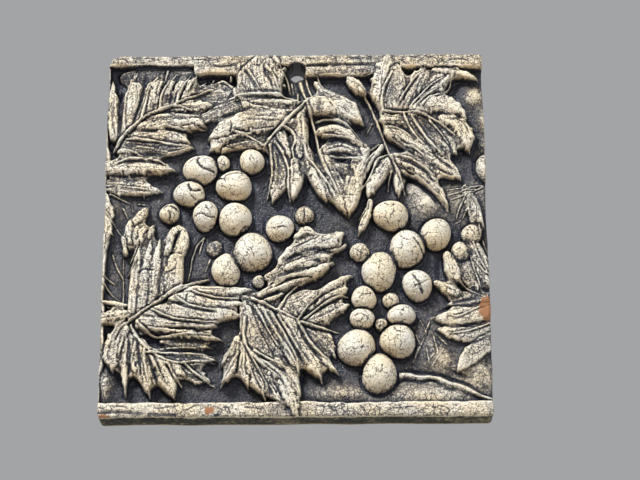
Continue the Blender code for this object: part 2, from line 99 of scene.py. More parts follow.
def curve(points, steps=8):
    """A smooth line through a few chosen points."""
    p = np.array(points, float)
    ends = np.vstack([2 * p[0] - p[1], p, 2 * p[-1] - p[-2]])
    line = []
    for a, b, c, d in zip(ends, ends[1:], ends[2:], ends[3:]):
        for t in np.arange(steps) / steps:
            bend = (c - a) * t + (2 * a - 5 * b + 4 * c - d) * t**2 + (3 * b - a - 3 * c + d) * t**3
            line.append(b + bend / 2)
    return np.array(line + [p[-1]])


def along(x, z, line):
    """Share of the way along the line, distance run, and distance from it, left of it positive."""
    step = np.diff(line, axis=0)
    length = np.hypot(step[:, 0], step[:, 1])
    start = np.append(0.0, np.cumsum(length))
    nearest = np.full(x.shape, np.inf)
    run = np.zeros(x.shape)
    side = np.zeros(x.shape)
    for (ax, az), (dx, dz), reach, before in zip(line, step, length, start):
        t = np.clip(((x - ax) * dx + (z - az) * dz) / reach**2, 0.0, 1.0)
        off_x = x - ax - t * dx
        off_z = z - az - t * dz
        gap = np.hypot(off_x, off_z)
        closer = gap < nearest
        nearest = np.where(closer, gap, nearest)
        run = np.where(closer, before + t * reach, run)
        side = np.where(closer, np.where(dx * off_z >= dz * off_x, gap, -gap), side)
    return run / start[-1], run, side


def blurred(field, radius):
    """The field smoothed with a round brush, its radius in drawn millimetres."""
    pad = int(3 * radius / CELL) + 1
    wide = np.pad(field, pad, mode="edge")
    steps = [np.fft.fftfreq(n, CELL) for n in wide.shape]
    fx, fz = np.meshgrid(*steps, indexing="ij")
    brush = np.exp(-2 * (np.pi * radius) ** 2 * (fx**2 + fz**2))
    soft = np.real(np.fft.ifft2(np.fft.fft2(wide) * brush))
    return soft[pad:-pad, pad:-pad]


def lumps(size):
    """Smooth random bumps of about that size in millimetres, between -1 and 1."""
    rough = blurred(random.standard_normal((GRID_CELLS + 1, GRID_CELLS + 1)), size / 2.5)
    return np.clip(rough / (2 * rough.std()), -1, 1)


STRANDS = random.uniform(-1, 1, 997)


def strands(place):
    """Uneven ridges and furrows, about one for each whole step of the place."""
    return np.interp(np.mod(place, len(STRANDS) - 1), np.arange(len(STRANDS)), STRANDS)


class Relief:
    """The carving on a square grid: heights over the face of the bars, dark wash laid in by hand and
    painted shade, places across and along the lobes that the wash's grain follows, and how calm its speckle
    is."""

    def __init__(self):
        self.line = np.linspace(-LAYOUT / 2, LAYOUT / 2, GRID_CELLS + 1)
        self.x, self.z = np.meshgrid(self.line, self.line, indexing="ij")
        self.h = np.full(self.x.shape, -DEPTH)
        self.ink_and_shade = np.zeros(self.x.shape)
        self.across = self.x * GRAIN_WIDTH / SPECKLE
        self.lengthwise = self.z * GRAIN_LENGTH / SPECKLE
        self.calm = np.ones(self.x.shape)
        self.warp_x = 0.35 * lumps(7)
        self.warp_z = 0.35 * lumps(7)
        self.broken = lumps(2.5)
        self.ragged = lumps(1.7)
        self.count = 0

    def window(self, points, reach):
        """The part of the grid within reach of the points."""
        points = np.atleast_2d(points)
        low = np.searchsorted(self.line, points.min(axis=0) - reach)
        high = np.searchsorted(self.line, points.max(axis=0) + reach)
        return slice(low[0], high[0]), slice(low[1], high[1])

    def blade(
        self, points, left, right, level, ribs=3, blunt=0.8, rough=1.0, plump=0.8, root=0.75, dish=0.0
    ):
        """One lobe of a leaf, from root to tip, combed with uneven ribs that follow its sides. After
        its half widths and level come the number of ribs, the taper (small is blunt), how rough its
        edge and grain are, the rise of its middle, the root's share of the width, and a dish."""
        self.count += 1
        line = curve(points)
        w = self.window(line, max(left, right) + 2)
        t, run, off = along(self.x[w] + self.warp_x[w], self.z[w] + self.warp_z[w], line)
        swell = root + (1 - root) * np.sin(np.pi / 2 * np.clip(t / 0.42, 0, 1))
        taper = np.cos(np.pi / 2 * np.clip((t - 0.45) / 0.55, 0, 1) ** 1.4) ** (1.7 * blunt)
        half = np.where(off > 0, left, right) * np.minimum(swell, taper)
        saw = np.mod(run / TOOTH_EVERY + 0.37 * self.count + 0.5 * (off > 0), 1) - 0.5
        teeth = rough * TOOTH * min(max(left, right) / 4, 1) * saw
        past_root = ease(t * 4)
        torn = half * (1 + 0.3 * rough * self.ragged[w] * past_root)
        half = np.maximum(torn + teeth * past_root * ease(half / 3), 1e-3)
        inside = half - np.abs(off)
        across = np.clip(np.abs(off) / half, 0, 1)
        top = level + LEAF_RISE + plump * (0.5 - across**3) - dish * (1 - across**2)
        fade = rough * ease(t / 0.12 + 0.3) * ease((1 - t) / 0.1 + 0.2)
        sway = 0.25 * np.sin(run / 3.7 + self.count) + 0.22 * self.broken[w]
        fibres = strands(off / half * max(ribs, 1) * 1.3 + 5.7 * self.count + sway)
        hairs = strands(off * 2.1 + 9.1 * self.count + 3 * sway)
        combed = RIB_RISE * min(ribs / 2, 1) * fibres + HAIR_RISE * hairs
        top = top + fade * combed * (0.8 + 0.35 * self.broken[w])
        made = -DEPTH + (top + DEPTH) * ease(inside / LOBE_EDGE)
        here = self.h[w]
        trench = TRENCH_DEPTH * np.exp(-((np.minimum(inside, 0) / TRENCH_WIDTH) ** 2))
        under = np.minimum(here, np.maximum(here - trench, -DEPTH - 0.3))
        cover = np.where(made > here, 1.0, ease(t / 0.2))
        covers = (inside > 0) & (made > here)
        self.across[w] = np.where(covers, off + 3.7 * self.count, self.across[w])
        self.lengthwise[w] = np.where(covers, run, self.lengthwise[w])
        self.calm[w] = np.where(covers, 0.6 * (1 - rough), self.calm[w])
        self.h[w] = np.where(inside > 0, here + (made - here) * cover, under)
        self.ink_and_shade[w] = np.where(inside > 0, self.ink_and_shade[w] * (1 - ease(inside / 0.5) * cover), self.ink_and_shade[w])

    def join(self, ground):
        """Flesh between neighbouring lobes, a little below them, where they lie close together."""
        lobes = self.h > ground + 0.4
        near = blurred(lobes, FLESH_REACH)
        level = blurred(np.where(lobes, self.h, 0), FLESH_REACH) / np.maximum(near, 0.05)
        flesh = ground + (level - FLESH_BELOW + 0.25 * self.broken - ground) * ease((near - 0.38) / 0.16)
        self.h = np.maximum(self.h, flesh)

    def leaf(self, *lobes, rises=()):
        """Lobes laid one over another, on soft rises where it has them, and the flesh between them."""
        ground = self.h.copy()
        for rise in rises:
            self.swell(*rise)
        for lobe in lobes:
            self.blade(*lobe)
        self.join(ground)

    def vein(self, points, width=1.0, rise=1.0, groove=0.6):
        """A raised rib, unbroken over dips, with a groove scored along both its sides. Its width,
        rise and groove are shares of the usual ones."""
        line = curve(points)
        w = self.window(line, 5 * VEIN_WIDTH * width)
        t, run, off = along(self.x[w] + 0.5 * self.warp_x[w], self.z[w] + 0.5 * self.warp_z[w], line)
        wide = VEIN_WIDTH * width * (1 - 0.4 * t) * (1 + 0.35 * self.broken[w])
        end = ease((1 - t) / 0.08) * ease(run / 0.8 + 0.25)
        height = VEIN_RISE * rise * (1 - 0.45 * t) * (0.3 + 0.7 * end) * (1 + 0.3 * self.ragged[w])
        off = np.abs(off)
        core = np.exp(-((off / wide) ** 2))
        side = np.exp(-(((off - 2.0 * wide) / (0.75 * wide)) ** 2))
        level = blurred(self.h[w], 2.2)
        self.h[w] += (np.maximum(level - self.h[w], 0) + height) * core - groove * height * side
        self.ink_and_shade[w] += 0.5 * groove * end * side
        self.ink_and_shade[w] -= (self.ink_and_shade[w] + 0.42) * end * np.exp(-((off / wide) ** 4))
        covers = off < 1.5 * wide
        self.across[w] = np.where(covers, off, self.across[w])
        self.lengthwise[w] = np.where(covers, run, self.lengthwise[w])
        self.calm[w] = np.where(covers, 0, self.calm[w])

    def furrow(self, points, width=0.7, depth=0.9, ink_and_shade=0.35):
        """A soft valley between two swells of a leaf."""
        line = curve(points)
        w = self.window(line, 4 * width)
        t, _, off = along(self.x[w] + 0.5 * self.warp_x[w], self.z[w] + 0.5 * self.warp_z[w], line)
        valley = np.exp(-((off / width) ** 2)) * ease(np.minimum(t, 1 - t) * 5 + 0.2)
        self.h[w] -= depth * valley
        self.ink_and_shade[w] += ink_and_shade * valley

    def crack(self, points, width=0.3, depth=0.5):
        """A narrow cut, filled with wash."""
        line = curve(points, steps=5)
        w = self.window(line, 2)
        t, _, off = along(self.x[w] + 0.8 * self.warp_x[w], self.z[w] + 0.8 * self.warp_z[w], line)
        cut = np.exp(-((off / width) ** 2)) * ease(np.minimum(t, 1 - t) * 8 + 0.3)
        self.h[w] -= depth * cut
        self.ink_and_shade[w] += 0.9 * cut

    def hollow(self, x, z, half_x, half_z, depth, ink_and_shade=0.5):
        """A soft dent, dark inside."""
        w = self.window((x, z), 3 * max(half_x, half_z))
        q = np.exp(-(((self.x[w] - x) / half_x) ** 2) - ((self.z[w] - z) / half_z) ** 2)
        self.h[w] -= depth * q
        self.ink_and_shade[w] += ink_and_shade * q

    def grape(self, x, z, half_x, half_z, crown=1.0, cracks=2):
        """A berry: the upper part of a slightly uneven ball in a dark ring, with a few fine cracks, its rim
        painted darker as wash and as shade, most on its lower side.
        """
        half_x, half_z = BERRY_SPREAD * half_x, BERRY_SPREAD * half_z
        w = self.window((x, z), max(half_x, half_z) + 2)
        dx, dz = self.x[w] - x, self.z[w] - z
        angle = np.arctan2(dz, dx)
        first, second = random.uniform(0, 2 * np.pi, 2)
        uneven = 1 + 0.03 * np.cos(2 * angle + first) + 0.03 * np.cos(3 * angle + second)
        q = np.hypot(dx / half_x, dz / half_z) / uneven
        top = -DEPTH + (GRAPE_RISE + DEPTH) * crown
        radius = min((half_x + half_z) / 2, top + DEPTH + 0.5)
        cap = top - radius * (1 - np.sqrt(np.clip(1 - q**2, 0, 1))) + 0.1 * self.broken[w]
        ring = np.exp(-((np.maximum(q - 1, 0) * radius / RING_WIDTH) ** 2))
        here = self.h[w]
        under = np.minimum(here, np.maximum(here - RING_DEPTH * ring, -DEPTH - 0.4))
        berry = q < 1
        self.h[w] = np.where(berry, np.maximum(cap, under), under)
        self.across[w] = np.where(berry, self.x[w] * GRAIN_WIDTH / SPECKLE, self.across[w])
        self.lengthwise[w] = np.where(berry, self.z[w] * GRAIN_LENGTH / SPECKLE, self.lengthwise[w])
        # Painted shade: darker toward the rim, partly as wash gathered there, and more on the lower side,
        # away from the light.
        edge = 0.4 * ease((q - 0.62) / 0.38) * (1 - 0.35 * dz / half_z)
        shade = -0.32 + 0.85 * (1 - crown) + edge
        self.calm[w] = np.where(berry, 0.25, self.calm[w])
        self.ink_and_shade[w] = np.where(berry, shade, self.ink_and_shade[w] + 0.15 * ring)
        for _ in range(cracks):
            self.craze(x, z, half_x, half_z)

    def craze(self, x, z, half_x, half_z):
        """One fine crack that wanders over a berry."""
        heading = random.uniform(0, 2 * np.pi)
        place = np.array([np.cos(heading + np.pi), np.sin(heading + np.pi)]) * random.uniform(0.2, 0.8)
        points = [place]
        for _ in range(random.integers(2, 5)):
            heading += random.uniform(-0.7, 0.7)
            place = place + 0.3 * np.array([np.cos(heading), np.sin(heading)])
            if np.hypot(*place) > 0.9:
                break
            points.append(place)
        if len(points) > 1:
            self.crack([(x + a * half_x, z + b * half_z) for a, b in points], width=0.18, depth=0.18)

    def soften(self):
        """Hard edges rounded as the glaze flows over them, and the roughness of pressed clay."""
        self.h = blurred(self.h, GLAZE_FLOW) + 0.1 * lumps(1.6) + 0.07 * lumps(0.8)

    def swell(self, x, z, half_x, half_z, height):
        """A soft rise of the ground."""
        q = ((self.x - x) / half_x) ** 2 + ((self.z - z) / half_z) ** 2
        self.h += height * np.exp(-q)

    def bar(self, low, high, start, end, level=0.0):
        """A band of the border between two heights, with worn, uneven edges."""
        x = self.x + 1.6 * self.warp_x
        z = self.z + 1.2 * self.warp_z + 0.25 * self.broken
        inside = np.minimum(np.minimum(z - low, high - z), np.minimum(x - start, end - x))
        made = -DEPTH + (level + 0.12 * self.broken + DEPTH) * ease(inside / 1.1 + 0.2)
        covers = (inside > 0) & (made > self.h)
        self.across = np.where(covers, self.z, self.across)
        self.lengthwise = np.where(covers, 3 * self.x, self.lengthwise)
        self.calm = np.where(covers, 0.55, self.calm)
        self.h = np.where(inside > -0.2, np.maximum(made, self.h), self.h)


def carve(cut, *rows):
    """The same kind of cut, made once for each row of places and sizes."""
    for row in rows:
        cut(*row)


tile = Relief()

# The ground: soft rises near the right and lower edges, then wash that pooled or was rubbed off, and
# painted shade: dark patches for shadows under raised shapes and between the berries.
tile.h += 0.25 * lumps(9) + 0.12 * lumps(3)
carve(
    tile.swell,
    (72, 57.5, 5, 4.5, 3.2),
    (77, 47, 3.5, 6, 3.5),
    (77, 37, 3, 3, 2.5),
    (-74, -62, 3, 7.5, 3.2),
    (50, -68, 24, 6, 3.0),
    (73, -60, 9, 6, 2.6),
    (57, -53, 5, 6, 2.4),
    (14, -66, 12, 3.5, 1.8),
    (65, 14, 14, 9, 2.2),
    (50, 10, 7, 9, 2.0),
    (-74, 8, 4, 10, 2.4),
    (-28, 47.5, 11, 3.5, 2.0),
    (-25, -40, 8, 5, 1.6),
)
for x, z, half_x, half_z, ink_and_shade in (
    (0, 8, 15, 7, 0.75),
    (8, 62, 3.5, 6, 0.35),
    (4.8, 23, 2.2, 5, 0.4),
    (-44, -3, 7, 9, 0.25),
    (24, -3, 6, 6, 0.2),
    (25, 50, 5, 10, 0.2),
    (-70, 68, 5, 3.5, 0.3),
    (67, 24, 5, 5, 0.2),
    # Painted shadow on the ground under a lobe tip.
    (65, 60, 3, 5, 0.2),
    (-62, -65, 10, 3, 0.15),
    (14, -56, 5, 3, 0.3),
    (-24, -66, 8, 3.5, 0.3),
    (-18, -28, 4, 4, 0.2),
    # Painted shadow on the ground beside the buds at the right.
    (55, -12, 4, 8, 0.3),
    # These four: painted shade on the ground between the berries of the two bunches.
    (-30, 13, 17, 15, 0.65),
    (-20, -11, 10, 11, 0.15),
    (41, -14, 15, 13, 0.35),
    (33, -40, 12, 15, 0.3),
):
    tile.hollow(x, z, half_x, half_z, 0.2, ink_and_shade)
for x, z, half_x, half_z, ink_and_shade in (
    (60, -70, 18, 6, -0.3),
    (-74, -61, 4, 8, -0.3),
    (70, -57, 7, 5, -0.3),
    (22, -66, 12, 4, -0.3),
    (68, 10, 8, 10, -0.3),
    (50, -67, 16, 4, -0.3),
    (54, -34, 6, 12, -0.25),
    (52, 12, 6, 6, -0.2),
):
    tile.hollow(x, z, half_x, half_z, 0, ink_and_shade)

# The bars above and below, a narrow rim at the left, and the nicks worn into them.
half = LAYOUT / 2
carve(
    tile.bar,
    (67.3, 73, -42, -20, -0.3),
    (66.6, 73, 3, 36, -0.6),
    (71.2, half + 2, -half - 2, half + 2),
    (69.8, half + 2, 42, half + 2, -0.1),
    (-half - 2, -69.7, -half - 2, half + 2),
    (-half, half, -half - 2, -half + 1.6, -1.3),
)
carve(
    tile.furrow,
    ([(3.5, 71.2), (8, 71.6), (14, 71.1)], 0.6, 0.8, 0.6),
    ([(14, 71.1), (24, 71.4), (33, 70.9)], 0.4, 0.4, 0.35),
    ([(3, 67.4), (18, 67.7), (35, 67.3)], 1.3, 0.5, 0.3),
)
tile.crack([(-33, 71.2), (-29, 70.9), (-24, 71.5)], width=0.35, depth=0.5)
carve(
    tile.furrow,
    ([(-42, 67.7), (-31, 67.3), (-22, 67.5)], 0.5, 0.6, 0.4),
    ([(-77, -74.3), (-66, -74.1), (-57, -74.6)], 0.6, 0.8, 0.3),
)
tile.crack([(-57, -74.5), (-45, -74.8)], width=0.4, depth=0.5)
carve(
    tile.furrow,
    ([(-77, 72.3), (-66, 72.6), (-50, 72.2), (-42, 72.4)], 0.9, 0.4, 0.2),
    ([(-60, -70.8), (-35, -71), (-12, -70.7)], 0.9, 0.4, 0.15),
    ([(5, -70.9), (25, -70.6), (45, -71)], 0.9, 0.3, 0.12),
)
for start, end in (
    ((-73, 75), (-68, 72.5)),
    ((-62, 74.6), (-55, 73.6)),
    ((-50, 75.2), (-47, 72)),
    ((-41, 74), (-35, 73.1)),
    ((-7, 75.4), (-2, 75.1)),
    ((3, 74.2), (9, 73.4)),
    ((14, 75.5), (17, 72)),
    ((20, 74), (27, 73.2)),
    ((29, 75.6), (31, 71.8)),
    ((46, 74.4), (52, 73.2)),
    ((55, 75), (58, 71.5)),
    ((63, 73.2), (71, 72.5)),
    ((-71, -71.8), (-64, -72.7)),
    ((-54, -72.4), (-46, -72)),
    ((-42, -73.5), (-37, -71.2)),
    ((-28, -71.6), (-25, -75)),
    ((-20, -72.5), (-13, -73.4)),
    ((8, -72.1), (16, -73)),
    ((24, -71.6), (27, -74.8)),
    ((36, -73.3), (47, -72.6)),
    ((55, -72), (59, -74.6)),
):
    middle = (start[0] * 0.45 + end[0] * 0.55 + 0.6, start[1] * 0.5 + end[1] * 0.5 + 0.5)
    tile.crack([start, middle, end], width=0.22, depth=0.3)

# The upper left leaf, which lies on its side.
tile.leaf(
    ([(-24, 58), (-32, 58), (-41, 60)], 5, 7, -2.7, 4, 0.5),
    ([(-77, 20), (-66, 19.3), (-52, 17.5)], 3.2, 3.6, -2.6, 4),
    ([(-73.3, 40), (-74, 54), (-74.3, 66.5)], 2.0, 2.6, -0.8, 2, 0.5),
    ([(-68.3, 43), (-66, 55), (-64.3, 70.5)], 3.2, 3.4, -0.6, 2, 0.5),
    ([(-63, 47), (-60.8, 57), (-56.6, 68.5)], 2.4, 2.6, -1.1, 2),
    ([(-58.5, 50), (-56.5, 60), (-53, 69.5)], 2.8, 2.8, -0.8, 2, 0.5),
    ([(-54, 53), (-51.5, 61), (-49, 70.5)], 2.4, 2.6, -1.1, 2),
    ([(-49.5, 55), (-47, 62), (-44.5, 69.5)], 2.2, 2.4, -1.0, 2),
    ([(-45, 56), (-42.7, 62.5), (-40.5, 69.5)], 2.4, 2.4, -0.8, 2, 0.5),
    ([(-77, 27.5), (-62, 27.6), (-46.5, 25.8)], 4.2, 3.8, -0.6, 2),
    ([(-71, 34.3), (-66, 34.4), (-60, 31.5)], 1.7, 1.7, -1.6),
    ([(-69, 38.5), (-55, 36.5), (-39.5, 36)], 2.6, 4.0, -2.0, 3, 0.6),
    ([(-66, 41.5), (-52, 42.2), (-40.5, 36.8)], 2.6, 3.2, -1.4, 3),
    ([(-62, 44.5), (-49, 46), (-34.5, 43.6)], 3.6, 2.4, -0.8, 3),
    ([(-47, 46.5), (-41, 47.5), (-34.6, 43.8)], 1.8, 2.4, -0.4, 2),
    ([(-59, 48.5), (-49, 50), (-36.5, 49.3)], 1.8, 2.2, -1.2, 2),
    ([(-55, 52.5), (-43, 54), (-32.8, 54.2)], 2.6, 3.0, -0.6, 3, 0.4),
    ([(-69, 67.5), (-56, 69), (-38, 68.5)], 4.2, 4.0, -3.2, 0, 0.3, 0.4, 0.2),
)
carve(
    tile.hollow,
    (-71, 66, 3.6, 3.2, 1.8, 0.35),
    (-51, 57, 3.2, 1.9, 1.3, 0.35),
    (-57, 53.3, 1.8, 1.4, 0.8),
    (-37, 58.3, 2.8, 1.8, 0.8, 0.4),
)
carve(
    tile.furrow,
    ([(-70.6, 45), (-70.8, 54), (-70.3, 62)], 0.9, 1.3, 0.5),
    ([(-65.5, 47), (-63.5, 53), (-61.7, 60), (-60.7, 69)], 0.9, 1.2, 0.4),
    ([(-56, 57.5), (-54.2, 62), (-53.3, 68)], 0.5),
    ([(-50, 60), (-48.6, 65), (-46.7, 69)], 0.5),
    ([(-45.3, 60), (-43.8, 65), (-42.5, 69.5)], 0.4),
    ([(-63, 43.7), (-58, 43), (-55, 43.5)], 0.7),
    ([(-58, 51.3), (-50, 51.2), (-42, 50.9)], 0.7, 1.1, 0.5),
    ([(-54, 44.4), (-50, 43.6), (-44, 42.5), (-41, 41.6)], 0.8, 1.0, 0.45),
    ([(-69, 37.5), (-60, 37), (-52, 36), (-45, 35.5)], 1.4, 0.8, 0.4),
    ([(-66, 32.7), (-58, 33.3), (-51, 33)], 1.0, 0.8, 0.45),
    ([(-69, 28.8), (-62, 29.7), (-55, 28.7), (-51, 27.5)], 0.9, 1.0, 0.5),
    ([(-76, 23.6), (-62, 23.8), (-50, 24.2)], 0.5, 0.8, 0.5),
)
carve(
    tile.vein,
    ([(-73, 35), (-69, 41), (-60, 49.5), (-50, 53.8), (-42, 57.7), (-37, 60.3), (-32, 62)], 1.3, 1.3),
    ([(-50, 53.5), (-46, 53.2), (-41.5, 51.7)], 1, 0.8),
    ([(-68.8, 43), (-69, 52), (-68, 61), (-65.3, 70)], 1, 0.7),
    ([(-62.3, 47.5), (-60.5, 57), (-58.8, 63), (-56, 67.6)], 1, 0.8),
    ([(-54.9, 53), (-54, 59.5), (-51, 65), (-48.3, 68.7)], 1, 0.8),
    ([(-52, 70), (-53, 66)], 1, 0.6),
    ([(-48, 55.5), (-46.3, 60.5), (-42.8, 68)], 1, 0.9),
    ([(-44, 60), (-41.5, 65), (-40, 68.5)], 1, 0.6),
    ([(-72, 28.7), (-67, 30.7), (-62, 31), (-55, 30), (-50.5, 27.5), (-47, 26)], 1, 0.9),
    ([(-68, 39.7), (-58, 38.9), (-50, 37.3), (-42, 36.2)], 1, 0.9),
    ([(-51, 33.4), (-46, 34.5), (-41, 36)], 1, 0.8),
    ([(-64, 36.5), (-56, 35.6)], 1, 0.4),
    ([(-51, 44.8), (-46, 43.7), (-42, 42.8)], 1, 0.7),
    ([(-30.3, 65.6), (-27, 63.7), (-24.5, 61.5)], 1, 0.9),
    ([(-39, 62.7), (-36.4, 65.6)], 1, 0.7),
)
tile.furrow([(-37.5, 50.2), (-34, 52), (-33, 55)], width=0.5, depth=0.7)

# The top leaf, which hangs over the bar with its stalk beside the nail hole.
tile.leaf(
    ([(-38, 48), (-30, 52), (-17, 56)], 3.6, 2.6, -2.2, 5, 0.3, 1, 0.8, 0.9),
    ([(-14, 57), (-15, 66), (-15, 78)], 10.5, 9.5, -0.2, 0, 0.35, 1, 0.5, 0.85),
    ([(1, 54.8), (-9, 55), (-20, 55.5)], 1.8, 2.0, -0.6, 2, 0.5),
    ([(-13, 44), (-24, 40), (-30.5, 33)], 3.4, 3.0, -1.0, 2, 0.6),
    ([(-10, 46), (-24, 43), (-35.5, 33.5)], 4.4, 4.2, -0.3, 2, 0.6, 1, 0.6),
    ([(0, 48.5), (-13, 48), (-25, 45), (-35.5, 38.5)], 4.6, 4.8, 0, 2, 0.5, 0.6, 0.6),
    ([(-11, 37), (-20, 38), (-30, 36)], 2.8, 2.4, -2.0, 4),
    ([(-9, 38.5), (-6.5, 27), (-9.5, 11.5)], 3.4, 3.2, -1.6, 3, 0.5, 1, 0.8, 0.75, 0.4),
    ([(-7.5, 42.5), (-5, 38), (-1.5, 29.5)], 2.2, 2.0, -0.8, 2),
    ([(1.5, 51), (2, 42), (1.5, 30)], 3.4, 3.2, -0.8, 3, 0.4),
    ([(-0.5, 29.5), (-0.2, 21), (-0.8, 12.5)], 2.5, 2.4, -0.7, 1, 0.5),
    ([(4.3, 33), (8.3, 23), (12.5, 11)], 3.6, 2.6, -0.5, 2, 0.45),
    ([(12, 30), (17.5, 18), (21, 5.5)], 3.0, 4.2, -0.2, 1, 0.45, 0.6),
    ([(28, 34), (24.5, 22), (21, 5.5)], 3.0, 4.4, 0.0, 1, 0.45, 0.4),
    ([(13, 27), (18, 27), (24, 22)], 2.6, 2.6, -1.8),
    ([(12, 35), (19, 36), (27.5, 31)], 3.4, 3.4, -1.7, 4),
    ([(10, 42.5), (18, 42.8), (28.5, 34.5)], 2.6, 3.0, -1.0, 3),
    ([(6, 54), (17, 53.5), (28.5, 45)], 4.6, 5.2, -0.3, 2, 0.75, 0.6),
    ([(9, 64), (13, 59.5), (22, 57)], 1.6, 2.6, -2.0, 1),
)
carve(
    tile.hollow,
    (9.7, 52.5, 1.8, 3.2, 1.0, 0.4),
    (-7.2, 28.5, 2.0, 6.5, 0.9, 0.6),
    (-22, 37.5, 6.5, 1.8, 0.5, 0.35),
    (14.5, 37.6, 4.5, 2.0, 0.7, 0.45),
    (13, 46, 3.5, 1.2, 0.6, 0.4),
    (16.5, 32.5, 2.5, 0.8, 0.5, 0.35),
    (24, 45.6, 3.2, 0.7, 1.0),
    (17, 22.3, 2.0, 2.0, 1.2),
    (2.2, 33.5, 0.9, 2.6, 0.9),
    (-2.8, 50, 1.6, 1.2, 1.2, 0.6),
    (-2.8, 40, 0.8, 2.2, 0.8),
    (-4.6, 61.5, 0.9, 3.6, 1.0, 0.4),
    (1.6, 57.5, 1.2, 2.2, 0.9, 0.4),
)
carve(
    tile.furrow,
    ([(1, 50.5), (-4.5, 46.3), (-8.5, 42.3), (-12.5, 40.5)], 0.9, 1.4, 0.5),
    ([(-25, 43.3), (-20, 42.3), (-14, 40.6)], 0.6, 0.9),
    ([(-30, 39), (-29, 36), (-31, 33.5)], 0.8, 0.8),
    ([(4, 51.5), (5.6, 45), (6.6, 38), (8, 31), (10.2, 26.5)], 1.4, 2.2, 0.5),
    ([(-2, 27.5), (0, 28.3), (2.3, 27)], 0.4, 0.5),
    ([(4.8, 28), (9.6, 25), (13, 22)], 0.5, 0.7),
    ([(16.2, 15), (20, 14.4), (26, 14)], 0.3, 0.3, 0.25),
    ([(20.5, 18), (23, 23.5), (24.5, 27)], 0.5, 0.5),
    ([(9, 49.3), (15, 49.3), (22, 46.7), (25, 44)], 0.7, 0.9),
    ([(12.5, 57), (15.3, 52.5)], 0.35, 0.6),
    ([(12, 46.2), (17, 45.6), (22, 43)], 0.5, 0.7),
    ([(12, 39.2), (18, 38.8), (25, 35.5)], 0.8, 0.9),
    ([(14, 33.4), (20, 32.9), (26, 31)], 0.5, 0.6),
    ([(15, 29.7), (21, 29.2), (26, 27.5)], 0.9, 1.1, 0.5),
    ([(-21, 59.7), (-12, 60.1), (-2.5, 59.6)], 0.6, 0.8, 0.4),
    ([(-22, 57.1), (-12, 57.3), (-3, 57), (-0.5, 55.5)], 0.7, 1.0, 0.4),
    ([(-20.3, 69), (-18, 64.5), (-15.8, 60.5)], 0.45, 0.6, 0.3),
    ([(-13, 69.5), (-10.8, 65.5), (-9.3, 61.5)], 0.7, 0.9, 0.4),
    ([(-30, 49), (-24, 50.8), (-17, 52.9)], 0.8, 1.0, 0.5),
    ([(-34, 52), (-27, 54.5), (-20, 56.3)], 0.5, 0.6),
    ([(-16, 54.3), (-8, 54.5), (-4, 53.8), (-2, 52)], 0.4, 0.5),
    ([(-18, 48.8), (-13, 48.8), (-8, 48.4)], 0.35, 0.45),
    ([(-20, 47), (-14, 47.1), (-10, 46.6), (-5, 47)], 0.35, 0.45),
)
carve(
    tile.vein,
    ([(-9, 75.5), (-5.5, 70), (-3.3, 65.5), (-2.2, 59.8)], 1.5, 0.8, 0.4),
    ([(1.2, 67), (2.6, 62.3), (5, 56)], 1.6, 1.1),
    ([(4.2, 66.5), (5.3, 62), (7.3, 57.5)], 1.0, 0.7),
    ([(-1.7, 65), (-0.9, 59.8)], 1, 0.6),
    ([(0.8, 60.5), (0.9, 57), (-0.8, 53)], 1, 0.6),
    ([(0.5, 57), (-5, 58.2), (-14, 58.6), (-22, 58.3), (-28, 56.7)], 1.3, 0.7, 0.3),
    ([(4, 55), (-0.7, 50), (-5.5, 45), (-9.5, 40.7), (-11.8, 37.5), (-13, 34.5)], 1.5, 1.4),
    ([(4.5, 55), (6, 49.5), (8.3, 41), (9.5, 34), (11.3, 27.5), (15, 20), (17.3, 14.5)], 1.4, 1.3),
    ([(3.6, 36.5), (4.6, 31), (8, 26.5), (12.5, 20), (16, 13.5)], 1.2, 0.9),
    ([(-19.3, 68.8), (-17, 65.5), (-14.3, 60.5)], 1, 0.8),
    ([(-12, 71), (-8.8, 66.5), (-7, 61)], 1.2, 0.9),
    ([(-22, 62.5), (-20.5, 60)], 1, 0.5),
    ([(-25.5, 42.6), (-20, 40.7), (-16, 38.7), (-12.3, 36)], 1.1, 0.8),
    ([(-10.5, 37), (-9.6, 30), (-9.6, 23), (-11.5, 14)], 1.1, 1.2),
    ([(-8.2, 38.5), (-5, 33), (-2.9, 26), (-3, 19), (-1.8, 12.5)], 1.1, 1.2),
    ([(-4.5, 44.5), (-1.3, 42), (-0.3, 38), (-1.3, 34.5), (-0.2, 29)], 1, 0.9),
    ([(8, 47.3), (12, 48.2), (16.5, 47.2), (21.5, 44.7), (25.5, 40.5), (28.5, 35)], 1, 0.9),
    ([(10.8, 40.4), (16, 40.4), (22, 39), (25.5, 37)], 1, 0.8),
    ([(13.8, 31.6), (20, 31.3), (26.3, 29.5)], 1, 0.9),
    ([(9, 66.7), (11, 62.8), (15, 60.5), (20, 59.3)], 1.1, 1.0),
    ([(9, 57), (14, 56.8)], 1, 0.4),
)
carve(
    tile.crack,
    ([(-16, 75.5), (-20, 72), (-23, 68.5), (-24, 65), (-26, 60), (-28, 56)], 0.3, 0.8),
    ([(-25.8, 46.8), (-25.6, 44), (-26.3, 41.5)], 0.3, 0.8),
    ([(-17, 71.3), (-14, 71.1)], 0.3, 0.4),
)
tile.hollow(-20, 68.5, 0.9, 0.7, 0.8)

